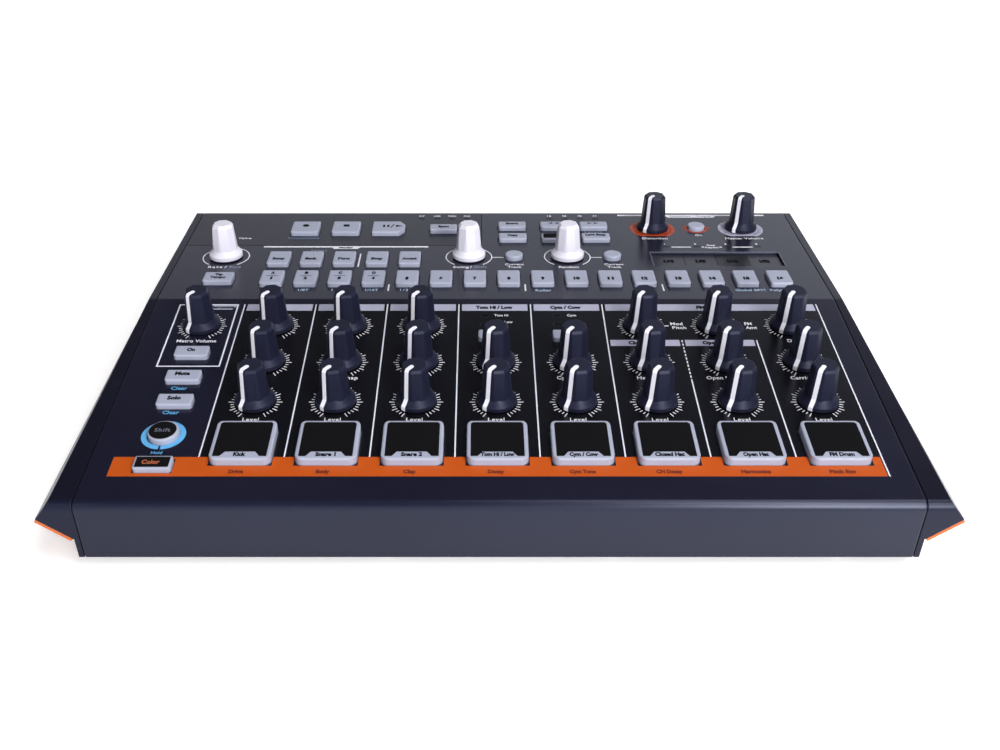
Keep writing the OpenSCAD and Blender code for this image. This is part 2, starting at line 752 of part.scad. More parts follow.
module switch_housing() {
    at_socket(switch_x) difference() {
        union() {
            translate([-bezel_w / 2, -bezel_h / 2, 0]) cube([bezel_w, bezel_h, 1]);
            translate([-housing_w / 2, -housing_h / 2, -12]) cube([housing_w, housing_h, 12 + eps]);
        }
        translate([-housing_w / 2 + 0.5, -rocker_h / 2 - 0.25, -9])
            cube([housing_w - 1, rocker_h + 0.5, 11]);
        translate([0, 0, pivot_z]) rotate([90, 0, 0])
            cylinder(housing_h - 0.6, r = pivot_r + 0.06, center = true);
    }
}

module rear_sockets() color(black) {
    for (x = large_xs) threaded_jack(x, large_w, large_h, large_d, large_bush_r, jack_bore_r, large_nut_r);
    for (x = mini_xs) threaded_jack(x, mini_w, mini_h, mini_d, mini_bush_r, mini_bore_r, mini_nut_r);
    for (x = din_xs) din_socket(x);
    usb_socket();
    power_inlet();
    switch_housing();
}

// The rocker, at rest with its right side pressed in as seen from the rear
module power_switch() color(black) at_socket(switch_x) translate([0, 0, pivot_z]) rotate([0, rocker_a, 0]) {
    rotate([90, 0, 0]) linear_extrude(rocker_h, center = true)
        polygon([[-4.6, -0.5], [-rocker_w / 2, 4.2], [0, 3], [rocker_w / 2, 4.2], [4.6, -0.5], [0, -3]]);
    rotate([90, 0, 0]) cylinder(housing_h - 1, r = pivot_r, center = true);
}

// ---------------------------------------------------------------- knobs
// The distance across the corners of a knob's body that is f across its flats and set in by i
function across(f, i) = (f - 2 * i) / cos(22.5);

// How a knob's skirt runs up to the body: parts of the way inwards and of the way up
flare = [[0, 0], [0.25, 0.19], [0.5, 0.44], [0.75, 0.71], [1, 1]];
flare_h = 2.4;
// Height and depth of the bevel round the top of a knob
knob_bevel = [0.9, 0.6];
encoder_bevel = [1.4, 0.95];

// The solid of a knob, with every face set in by i: a round skirt under an eight-sided body
module knob_form(top, flats, bevel, i = 0) {
    skirt_top = knob_lift + rim_h;
    flare_r = skirt_r - 0.25;
    flare_z = skirt_top + 0.3;
    neck_r = flats_low / 2 - 0.35;
    rotate_extrude() polygon(concat(
        [[0, knob_lift], [skirt_r - i, knob_lift], [skirt_r - i, skirt_top - i * 0.6]],
        [for (t = flare) [flare_r + (neck_r - flare_r) * t[0] - i, flare_z + flare_h * t[1] - i * 0.6]],
        [[0, flare_z + flare_h - i * 0.6]]));
    // The body, with flats that taper to a bevelled top, one of them at the pointer
    body_h = top - bevel[0] - i - flare_z;
    intersection() {
        rotate(22.5) translate([0, 0, flare_z]) {
            cylinder(body_h, d1 = across(flats_low, i), d2 = across(flats, i), $fn = 8);
            translate([0, 0, body_h]) cylinder(bevel[0], d1 = across(flats, i),
                d2 = across(flats - 2 * bevel[1], i), $fn = 8);
        }
        cylinder(top + 1, r1 = flats_low * 0.53 - i, r2 = flats * 0.524 - i);
    }
}

shaft_low = -board_drop + 1;
shaft_high = 12;

pointer_t = 0.12;

// The room of the pointer: a slab from near the middle outwards, over the edge and down
module pointer_slab(top) {
    translate([-pointer_w / 2, 0.9 + pointer_w / 2, 0]) cube([pointer_w, skirt_r, top + 1]);
    translate([0, 0.9 + pointer_w / 2, 0]) cylinder(top + 1, r = pointer_w / 2);
}

// A knob with its shaft; the pointer stands a little proud of the body all the way down
module knob(top, flats, bevel, pointer) {
    rotate(rest_a) difference() {
        union() {
            color(pointer ? knob_dark : knob_white) knob_form(top, flats, bevel);
            if (pointer) color(knob_white) intersection() {
                knob_form(top, flats, bevel, -pointer_t);
                pointer_slab(top);
            }
        }
        translate([0, 0, -1]) cylinder(shaft_high + 1, r = shaft_r);
    }
    color(metal) translate([0, 0, shaft_low]) cylinder(shaft_high - shaft_low, r = shaft_r);
}

module dark_knob() knob(knob_top, flats_high, knob_bevel, true);
module ramp_knob(n) on_ramp(ramp_knobs[n][0], ramp_knobs[n][1]) dark_knob();
module deck_knob(n) on_deck(deck_knobs[n][0], deck_knobs[n][1]) dark_knob();
module encoder(n) on_deck(encoders[n][0], encoders[n][1])
    knob(encoder_top, encoder_flats, encoder_bevel, false);

// ---------------------------------------------------------------- pads and buttons
module inlay_outline() {
    w = pad_w / 2 - inlay_side;
    d = pad_d / 2 - inlay_rear;
    f = pad_d / 2 - inlay_front;
    notch_w = 5.3;
    notch_d = 2.4;
    notch_run = 1.7;
    polygon([[-w, d - 0.8], [-w + 0.8, d], [w - 0.8, d], [w, d - 0.8], [w, -f], [notch_w + notch_run, -f],
        [notch_w, -f + notch_d], [-notch_w, -f + notch_d], [-notch_w - notch_run, -f], [-w, -f]]);
}

inlay_t = 0.6;

// A pad: a light frame with a black rubber inlay let into its top
module pad(n) on_ramp(column_mid(n), pad_v) {
    color(button_grey) difference() {
        union() {
            cap(pad_w, pad_d, pad_r, pad_top, cap_low);
            translate([0, 0, cap_low]) linear_extrude(flange_t)
                round_rect(pad_w + 2 * flange_out, pad_d + 2 * flange_out, pad_r + flange_out);
            translate([0, 0, stem_low + pad_travel])
                cylinder(cap_low - stem_low - pad_travel + eps, r = sensor_r - 1);
        }
        translate([0, 0, pad_top - inlay_t]) linear_extrude(inlay_t + 1) inlay_outline();
    }
    color(inlay_black) translate([0, 0, pad_top - inlay_t]) linear_extrude(inlay_t) inlay_outline();
}

module step_buttons() color(button_grey) for (b = steps) on_deck(b[0], b[1]) button(b[2], b[3]);
module mode_buttons() color(button_grey) for (b = modes) on_deck(b[0], b[1]) button(b[2], b[3]);
module tap_button() color(button_grey) on_deck(tap[0], tap[1]) button(tap[2], tap[3]);
module transport_buttons() color(button_grey) {
    for (b = transport) on_deck(b[0], b[1]) button(b[2], b[3]);
    on_deck(play_x, transport_v) play_button();
}
module edit_buttons() color(button_grey) {
    for (b = edit_wide) on_deck(b[0], b[1]) button(b[2], b[3]);
    for (p = edit_round) on_deck(p[0], p[1]) round_button(round_r);
}
module channel_buttons() color(button_grey) for (b = channel) on_ramp(b[0], b[1]) button(b[2], b[3]);
module shift_button() color(button_grey) on_ramp(left_x, shift_v) round_button(shift_r, shift_top);

top_cover();
bottom_cover();
left_cheek();
right_cheek();
wing_plates();
rubber_feet();
case_screws();
front_board();
rear_board();
socket_board();
rotary_controls();
key_switches();
pad_sensors();
touch_strip();
lamp_windows();
rear_sockets();
ramp_knob(0);  // metronome_knob
for (i = [1 : 6]) let (n = [1, 2, 3, 6, 7, 8][i - 1])
    ramp_knob(i);
for (n = [1 : 8]) ramp_knob(6 + n);
for (n = [1 : 8]) ramp_knob(14 + n);
deck_knob(0);  // distortion_knob
deck_knob(1);  // master_knob
encoder(0);  // rate_encoder
encoder(1);  // swing_encoder
encoder(2);  // random_encoder
for (n = [1 : 8]) pad(n);
step_buttons();
mode_buttons();
transport_buttons();
edit_buttons();
tap_button();
channel_buttons();
shift_button();
power_switch();
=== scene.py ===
"""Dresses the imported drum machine: finishes, knob pointers, prints, pad inlays and a plain studio.

The panel has a level section (DECK) and a sloping one (RAMP). Places on them are in millimetres: x to the
right and y to the rear, from the middle of the kink between the two. A distance v runs down the slope from
the kink, or to the rear of it on the level section.
"""
import math

import bmesh
import bpy
from mathutils import Matrix, Vector


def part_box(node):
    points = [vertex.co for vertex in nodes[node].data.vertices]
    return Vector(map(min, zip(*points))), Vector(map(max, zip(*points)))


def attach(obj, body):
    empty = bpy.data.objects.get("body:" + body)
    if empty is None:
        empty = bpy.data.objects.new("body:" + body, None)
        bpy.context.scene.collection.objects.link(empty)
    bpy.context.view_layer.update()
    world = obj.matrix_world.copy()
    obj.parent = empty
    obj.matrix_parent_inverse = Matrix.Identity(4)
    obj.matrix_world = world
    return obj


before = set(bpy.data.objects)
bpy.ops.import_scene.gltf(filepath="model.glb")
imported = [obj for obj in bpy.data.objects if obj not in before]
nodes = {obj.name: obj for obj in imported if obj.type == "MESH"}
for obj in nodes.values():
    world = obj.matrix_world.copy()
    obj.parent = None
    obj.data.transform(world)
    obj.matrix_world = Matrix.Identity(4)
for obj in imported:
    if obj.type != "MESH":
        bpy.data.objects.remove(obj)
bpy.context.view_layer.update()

MM = 0.001
SLOPE = math.radians(6.2)          # fall of the front section of the panel
REAR_LEN = 97.6                    # from the panel's kink to its rear face
COLUMN_X, PITCH = -105.8, 30.1     # left line of the first column, and the distance between columns
COLUMNS = range(1, 9)
COLUMN_NEAR, COLUMN_FAR = 4.3, 103.5   # where the columns begin and end down the slope
BAND_FAR = 113.8                   # where the orange band below the columns ends
HEAD_FAR = 9.2                     # where the pale heads of the columns end
BLOCK_LEFT, BLOCK_RIGHT = -150, -5.7   # the darker block on the level section
BLOCK_NEAR, BLOCK_FAR = 56.5, 95.0
ROWS = (20.8, 46.3, 71.8)          # rows of knobs down the slope
PAD_V = 97.2
BUTTON_TOP = 2.0
SHIFT_TOP = 2.3
PAD_TOP = 3.0
SHIFT_X, SHIFT_Y = -120.9, -91.3
SOCKET_DROP = 20.0                 # from the panel down to the sockets' middles
LARGE_JACKS = (-118, -97)
SMALL_JACKS = (-78, -66, -54, -42, -26, -10, 4)

cover_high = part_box("top_cover")[1]
DECK = Matrix.Translation((0, cover_high.y - REAR_LEN * MM, cover_high.z))
RAMP = DECK @ Matrix.Rotation(SLOPE, 4, "X")


def column(i):
    """The middle of a column; the first is 1."""
    return COLUMN_X + PITCH * (i - 0.5)


def column_line(i):
    """The line to the left of column i + 1."""
    return COLUMN_X + PITCH * i


# ------------------------------------------------------------------ camera
CAMERA_X = -0.0066
CAMERA_BACK, CAMERA_UP = 0.4392, 0.2172    # metres from the kink, to the front and up
CAMERA_DOWN = 30.1                         # degrees below level


def make_camera():
    lens = bpy.data.cameras.new("camera")
    lens.sensor_width = 36
    lens.lens = 41.4
    lens.shift_x = 0.0199
    camera = bpy.data.objects.new("camera", lens)
    camera.location = (CAMERA_X, DECK.translation.y - CAMERA_BACK, DECK.translation.z + CAMERA_UP)
    camera.rotation_euler = (math.radians(90 - CAMERA_DOWN), 0, 0)
    bpy.context.scene.collection.objects.link(camera)
    bpy.context.scene.camera = camera


make_camera()


# ------------------------------------------------------------------ node groups
def tone(red, green, blue):
    """A colour given as it looks on a screen, 0 to 255, as the linear colour that a shader takes."""
    return tuple((c / 255 / 12.92 if c <= 10 else ((c / 255 + 0.055) / 1.055) ** 2.4)
                 for c in (red, green, blue)) + (1,)


class Tree:
    """A short way to add nodes to a material or group and to join them."""

    def __init__(self, tree):
        self.tree = tree

    def node(self, kind, **settings):
        node = self.tree.nodes.new("ShaderNode" + kind)
        inputs = settings.pop("inputs", {})
        for key, value in settings.items():
            setattr(node, key, value)
        for key, value in inputs.items():
            if isinstance(value, bpy.types.NodeSocket):
                self.tree.links.new(value, node.inputs[key])
            else:
                node.inputs[key].default_value = value
        return node

    def math(self, operation, *values, clamp=False):
        return self.node("Math", operation=operation, use_clamp=clamp,
                         inputs=dict(enumerate(values))).outputs[0]

    def mix(self, factor, first, second):
        return self.node("Mix", data_type="RGBA",
                         inputs={0: factor, 6: first, 7: second}).outputs[2]

    def within(self, value, low, high):
        """1 where value lies between low and high, and 0 elsewhere."""
        off = self.math("ABSOLUTE", self.math("SUBTRACT", value, (low + high) / 2))
        return self.math("LESS_THAN", off, (high - low) / 2)


def new_group(name, inputs, outputs):
    """A node group with named sockets; gives the group, its tree, and its own inputs and outputs."""
    group = bpy.data.node_groups.new(name, "ShaderNodeTree")
    for label, kind, value in inputs:
        socket = group.interface.new_socket(label, in_out="INPUT", socket_type="NodeSocket" + kind)
        socket.default_value = value
    for label, kind in outputs:
        group.interface.new_socket(label, in_out="OUTPUT", socket_type="NodeSocket" + kind)
    t = Tree(group)
    return group, t, t.tree.nodes.new("NodeGroupInput").outputs, t.tree.nodes.new("NodeGroupOutput").inputs


def surface_mm(t, factor=1 / MM):
    """The place on the part at rest, in millimetres unless another factor is given."""
    place = t.node("TexCoord").outputs["Object"]
    return t.node("VectorMath", operation="SCALE", inputs={0: place, "Scale": factor}).outputs[0]


def grain_group():
    """Fine moulded or sprayed grain, with broad patches for handling marks."""
    group, t, given, out = new_group(
        "Fine grain", [("Grain size", "Float", 0.4), ("Patch size", "Float", 30.0)],
        [("Height", "Float"), ("Patches", "Float")])
    place = surface_mm(t)

    def noise(size, detail, roughness):
        scale = t.math("DIVIDE", 1.0, size)
        return t.node("TexNoise", inputs={"Vector": place, "Scale": scale, "Detail": detail,
                                          "Roughness": roughness}).outputs[0]

    t.tree.links.new(noise(given["Grain size"], detail=2.0, roughness=0.6), out["Height"])
    broad = noise(given["Patch size"], detail=3.0, roughness=0.65)
    patches = t.node("MapRange", inputs={"Value": broad, "From Min": 0.35, "From Max": 0.65}).outputs[0]
    t.tree.links.new(patches, out["Patches"])
    return group


def edge_group():
    """Softened edges: the normal of a rounded edge, and a mask of where the edge is."""
    group, t, given, out = new_group("Soft edges", [("Radius", "Float", 0.3)],
                                     [("Normal", "Vector"), ("Edge", "Float")])
    metres = t.math("MULTIPLY", given["Radius"], MM)
    bevel = t.node("Bevel", samples=4, inputs={"Radius": metres}).outputs[0]
    normal = t.node("NewGeometry").outputs["Normal"]
    dot = t.node("VectorMath", operation="DOT_PRODUCT", inputs={0: bevel, 1: normal}).outputs["Value"]
    # The mask runs up as the two normals turn apart
    edge = t.node("MapRange", inputs={"Value": dot, "From Min": 0.995, "From Max": 0.9}).outputs[0]
    t.tree.links.new(bevel, out["Normal"])
    t.tree.links.new(edge, out["Edge"])
    return group


def wear_and_highlight_group():
    """Colour and roughness: paler edges, partly handling wear and partly a painted highlight, and patches
    from handling that are duller or brighter.
    """
    group, t, given, out = new_group(
        "Handling wear and edge highlight",
        [("Color", "Color", (0.5, 0.5, 0.5, 1)), ("Worn and highlight color", "Color", (0.7, 0.7, 0.7, 1)),
         ("Edge", "Float", 0.0), ("Edge wear and highlight", "Float", 0.1), ("Patches", "Float", 0.5),
         ("Patch tone", "Float", 0.06), ("Roughness", "Float", 0.5), ("Patch gloss", "Float", 0.05)],
        [("Color", "Color"), ("Roughness", "Float")])
    # Paler edges: handling wear, and on the cheeks' outer edges a painted highlight
    worn_and_highlight = t.mix(t.math("MULTIPLY", given["Edge"], given["Edge wear and highlight"]), given["Color"], given["Worn and highlight color"])
    swing = t.math("SUBTRACT", given["Patches"], 0.5)
    value = t.math("ADD", 1.0, t.math("MULTIPLY", swing, given["Patch tone"]))
    shaded = t.node("HueSaturation", inputs={"Value": value, "Color": worn_and_highlight}).outputs[0]
    t.tree.links.new(shaded, out["Color"])
    gloss = t.math("ADD", given["Roughness"], t.math("MULTIPLY", swing, given["Patch gloss"]), clamp=True)
    t.tree.links.new(gloss, out["Roughness"])
    return group


GRAIN, EDGES, WEAR_AND_HIGHLIGHT = grain_group(), edge_group(), wear_and_highlight_group()


def finish(name, color, roughness, worn_and_highlight=None, grain=0.4, depth=0.006, edge=0.25, edge_wear_and_highlight=0.12,
           patch=30.0, patch_tone=0.08, patch_gloss=0.06, painter=None, **sockets):
    """A material: colour and roughness, or what painter(tree) gives instead, through wear and painted edge
    highlight, grain and soft edges into a Principled shader. grain, depth, edge and patch are in
    millimetres;
    sockets holds values for the shader's own sockets."""
    material = bpy.data.materials.new(name)
    material.use_nodes = True
    material.node_tree.nodes.clear()
    t = Tree(material.node_tree)
    grain_out = t.node("Group", node_tree=GRAIN, inputs={"Grain size": grain, "Patch size": patch}).outputs
    edge_out = t.node("Group", node_tree=EDGES, inputs={"Radius": edge}).outputs
    painted = painter(t) if painter else {}
    if "Metallic" in painted:
        sockets["Metallic"] = painted["Metallic"]
    pale = worn_and_highlight or tuple(min(1, c * 1.6 + 0.02) for c in color[:3]) + (1,)
    # The paler edges from this group are partly wear and partly painted highlight
    wear = t.node("Group", node_tree=WEAR_AND_HIGHLIGHT, inputs={
        "Color": painted.get("Color", color), "Worn and highlight color": pale, "Edge": edge_out["Edge"],
        "Edge wear and highlight": painted.get("Edge wear and highlight", edge_wear_and_highlight), "Patches": grain_out["Patches"],
        "Patch tone": patch_tone, "Roughness": painted.get("Roughness", roughness),
        "Patch gloss": patch_gloss}).outputs
    bump = t.node("Bump", inputs={"Strength": 1.0, "Distance": depth * MM, "Height": grain_out["Height"],
                                  "Normal": edge_out["Normal"]}).outputs[0]
    shader = t.node("BsdfPrincipled", inputs={
        "Base Color": wear["Color"], "Roughness": wear["Roughness"], "Normal": bump, **sockets})
    output = t.node("OutputMaterial")
    t.tree.links.new(shader.outputs[0], output.inputs[0])
    material.diffuse_color = color
    return material


# ------------------------------------------------------------------ finishes
PANEL_TONE = tone(25, 25, 41)
COLUMN_TONE = tone(14, 14, 19)
CHEEK_TONE = tone(22, 21, 35)
# Painted light: the paler, bluer navy on the front faces of the steel and the cheeks stands for the light
# they catch
LIT_FRONT_TONE = tone(24, 27, 44)
SHEEN_TINT = (0.74, 0.78, 1.0, 1.0)
CHEEK_HIGHLIGHT_FROM = 149.5                 # distance from the middle beyond which a cheek's edges get a painted highlight
LARGE_NUT, SMALL_NUT = 7.4, 4.8    # radii round the jacks that hold their nuts


def panel_places(t):
    """Millimetres to the right, behind the panel's kink, and down the slope from it."""
    parts = t.node("SeparateXYZ", inputs={0: surface_mm(t)}).outputs
    behind = t.math("SUBTRACT", parts[1], DECK.translation.y / MM)
    return parts[0], behind, t.math("MULTIPLY", behind, -1 / math.cos(SLOPE))


def front_mask(t, down):
    """0 on the panel, 1 on the front face, which is painted the paler navy of painted light."""
    return t.node("MapRange", inputs={"Value": down, "From Min": 124.5, "From Max": 127.5}).outputs[0]


def cheek_painter(t):
    """Navy plastic, painted a paler navy on the front as painted light like the steel beside it, with a
    painted highlight along the outer edges.
    """
    x, _, down = panel_places(t)
    # Painted highlight along the outer edges of the cheeks, given through the edge wear socket
    outer = t.math("GREATER_THAN", t.math("ABSOLUTE", x), CHEEK_HIGHLIGHT_FROM)
    return {"Color": t.mix(front_mask(t, down), CHEEK_TONE, LIT_FRONT_TONE),
            "Edge wear and highlight": t.math("MULTIPLY", outer, 0.45)}


def panel_painter(t):
    """Sprayed navy steel; the columns and a block on the deck are printed in other shades, and the front
    face is painted a paler navy as painted light.
    """
    x, behind, down = panel_places(t)
    columns = t.math("MULTIPLY", t.within(x, column_line(0), column_line(8)),
                     t.within(down, COLUMN_NEAR, COLUMN_FAR))
    block = t.math("MULTIPLY", t.within(x, BLOCK_LEFT, BLOCK_RIGHT),
                   t.within(behind, BLOCK_NEAR, BLOCK_FAR))
    # Painted light: the front face gets the paler navy
    body = t.mix(front_mask(t, down), PANEL_TONE, LIT_FRONT_TONE)
    painted = t.mix(columns, t.mix(t.math("MULTIPLY", block, 0.5), body, COLUMN_TONE), COLUMN_TONE)
    rough = t.math("ADD", 0.24, t.math("MULTIPLY", block, 0.04))
    return {"Color": painted, "Roughness": rough}


def socket_painter(t):
    """Black sockets; the bushes and nuts of the jacks are nickel-plated."""
    parts = t.node("SeparateXYZ", inputs={0: surface_mm(t)}).outputs
    up = t.math("SUBTRACT", parts[2], DECK.translation.z / MM - SOCKET_DROP)
    metal = 0.0
    for xs, radius in ((LARGE_JACKS, LARGE_NUT), (SMALL_JACKS, SMALL_NUT)):
        for x in xs:
            off = t.math("SQRT", t.math("ADD", t.math("POWER", t.math("SUBTRACT", parts[0], x), 2.0),
                                        t.math("POWER", up, 2.0)))
            metal = t.math("MAXIMUM", metal, t.math("LESS_THAN", off, radius))
    behind = t.math("GREATER_THAN", parts[1], DECK.translation.y / MM + REAR_LEN - 0.2)
    metal = t.math("MULTIPLY", metal, behind)
    return {"Color": t.mix(metal, tone(22, 22, 25), tone(196, 194, 190)), "Metallic": metal,
            "Roughness": t.math("SUBTRACT", 0.42, t.math("MULTIPLY", metal, 0.16))}


STEEL = finish("satin_navy_steel", PANEL_TONE, 0.24, worn_and_highlight=tone(112, 118, 140), grain=0.25, depth=0.004,
               edge=0.8, edge_wear_and_highlight=0.04, patch=60, patch_tone=0.12, patch_gloss=0.04, painter=panel_painter,
               **{"Specular IOR Level": 0.4, "Specular Tint": SHEEN_TINT})
BASE_STEEL = finish("satin_base_steel", tone(24, 24, 30), 0.42, worn_and_highlight=tone(110, 110, 120), grain=0.3)
# The cheek's pale edge colour is a painted highlight on its outer edges
CHEEK = finish("cheek_plastic", CHEEK_TONE, 0.26, worn_and_highlight=tone(150, 152, 170), grain=0.6, depth=0.01, edge=0.5,
               painter=cheek_painter, **{"Specular IOR Level": 0.24, "Specular Tint": SHEEN_TINT})
ORANGE = finish("orange_plastic", tone(206, 98, 30), 0.42, grain=0.5, depth=0.008, edge=0.2)
RUBBER = finish("foot_rubber", tone(26, 26, 28), 0.75, grain=0.8, depth=0.03)
ZINC = finish("zinc_plated_steel", tone(190, 190, 196), 0.3, grain=0.2, depth=0.003, Metallic=1.0)
KNOB = finish("knob_plastic", tone(23, 25, 43), 0.45, worn_and_highlight=tone(72, 78, 104), grain=0.35, depth=0.008,
              edge=0.4, edge_wear_and_highlight=0.3, patch=14, patch_tone=0.1,
              **{"Specular IOR Level": 0.3, "Specular Tint": SHEEN_TINT})
WHITE_KNOB = finish("white_knob_plastic", tone(228, 225, 238), 0.42, grain=0.35, depth=0.006, edge=0.45,
                    edge_wear_and_highlight=0.0, patch=14, patch_tone=0.02)
GREY_RUBBER = finish("button_silicone", tone(164, 168, 188), 0.5, worn_and_highlight=tone(198, 202, 216), grain=0.3,
                     depth=0.006, edge=0.9, edge_wear_and_highlight=0.4, patch=16, patch_tone=0.04)
INLAY = finish("pad_inlay_rubber", tone(14, 14, 16), 0.75, grain=0.7, depth=0.03, edge=0.15,
               **{"Specular IOR Level": 0.08})
BLACK = finish("black_plastic", tone(22, 22, 25), 0.4, grain=0.4)
SOCKETS = finish("socket_plastic_and_nickel", tone(22, 22, 25), 0.4, grain=0.4, painter=socket_painter)
LENS = finish("smoked_lens", tone(10, 10, 13), 0.2, grain=1.5, depth=0.002, edge=0.1,
              **{"Specular IOR Level": 0.12})
STRIP = finish("touch_strip_film", tone(42, 41, 52), 0.3, grain=0.3, depth=0.003, edge=0.1,
               **{"Specular IOR Level": 0.36})
STRIP_DARK = finish("touch_strip_dark_film", tone(22, 21, 29), 0.3, grain=0.3, depth=0.003, edge=0.1,
                    **{"Specular IOR Level": 0.3})
SOLDER_MASK = finish("green_solder_mask", tone(20, 78, 44), 0.35, grain=3, depth=0.01, patch=8,
                     patch_tone=0.3)


def ink(name, color, roughness=0.45, gloss=0.3):
    """A finish for a printed line or letter."""
    return finish(name, color, roughness, grain=0.15, depth=0.002, edge=0.05, edge_wear_and_highlight=0.0, patch=8,
                  patch_tone=0.05, **{"Specular IOR Level": gloss})


WHITE_INK = ink("white_ink", tone(240, 240, 248))
PALE_INK = ink("pale_grey_ink", tone(174, 174, 196))
# Grey ink for print, also used for the painted highlight round the touch strip's recess
GREY_INK_AND_RIM_HIGHLIGHT = ink("grey_ink_and_rim_highlight", tone(116, 120, 138))
LINE_INK = ink("line_ink", tone(232, 233, 244))
BLUE_INK = ink("blue_ink", tone(96, 172, 224))
PALE_BLUE_INK = ink("pale_blue_ink", tone(178, 200, 226))
DULL_BLUE_INK = ink("dull_blue_ink", tone(122, 142, 170))
ORANGE_INK = ink("orange_ink", tone(189, 79, 10))
RUST_INK = ink("rust_ink", tone(176, 66, 30))
SOFT_ORANGE_INK = ink("soft_orange_ink", tone(206, 112, 70))
BROWN_INK = ink("brown_ink", tone(104, 36, 18))
DARK_INK = ink("dark_ink", tone(14, 14, 22), 0.7, 0.06)
POINTER = finish("white_pointer", tone(242, 240, 250), 0.4, grain=0.3, depth=0.003, edge=0.12,
                 edge_wear_and_highlight=0.0)

CAD_FINISHES = {
    "top_cover": STEEL, "bottom_cover": BASE_STEEL, "left_cheek": CHEEK, "right_cheek": CHEEK,
    "wing_plates": ORANGE, "rubber_feet": RUBBER, "case_screws": ZINC, "front_board": SOLDER_MASK,
    "rear_board": SOLDER_MASK, "socket_board": SOLDER_MASK, "rotary_controls": ZINC, "key_switches": BLACK,
    "pad_sensors": RUBBER, "touch_strip": STRIP, "lamp_windows": LENS, "rear_sockets": SOCKETS,
    "power_switch": BLACK}
for name, node in nodes.items():
    if name in CAD_FINISHES:
        material = CAD_FINISHES[name]
    elif name.endswith("_encoder"):
        material = WHITE_KNOB
    elif name.endswith("_knob") or "_knob_" in name:
        material = KNOB
    else:
        material = GREY_RUBBER
    node.data.materials.clear()
    node.data.materials.append(material)


# ------------------------------------------------------------------ making pieces
def add_piece(name, bm, place, material, body):
    """A mesh drawn in millimetres, laid on a plane of the part, that rides on a body."""
    bmesh.ops.remove_doubles(bm, verts=bm.verts, dist=1e-5)
    bmesh.ops.recalc_face_normals(bm, faces=bm.faces)
    bmesh.ops.transform(bm, matrix=place @ Matrix.Scale(MM, 4), verts=bm.verts)
    mesh = bpy.data.meshes.new(name)
    bm.to_mesh(mesh)
    bm.free()
    mesh.materials.append(material)
    piece = bpy.data.objects.new(name, mesh)
    bpy.context.scene.collection.objects.link(piece)
    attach(piece, body)
    return piece


def skin(bm, loops):
    """Closes a row of outlines with the same number of corners into a solid."""
    for a, b in zip(loops, loops[1:]):
        for i in range(len(a)):
            j = (i + 1) % len(a)
            bm.faces.new([a[i], a[j], b[j], b[i]])
    bm.faces.new(loops[0])
    bm.faces.new(loops[-1])


CAPITAL = 0.73         # height of the font's capitals, for a size of 1
# How much the outline of a letter is widened, for a size of 1
FINE, LIGHT, MEDIUM, HEAVY, BOLD = 0.012, 0.055, 0.06, 0.07, 0.085
# Heights of a print above its plane: a thin one, a usual one, and one that lies on another print, which is
# lifted too
THIN, USUAL, OVER, OVER_LIFT = 0.04, 0.05, 0.07, 0.02


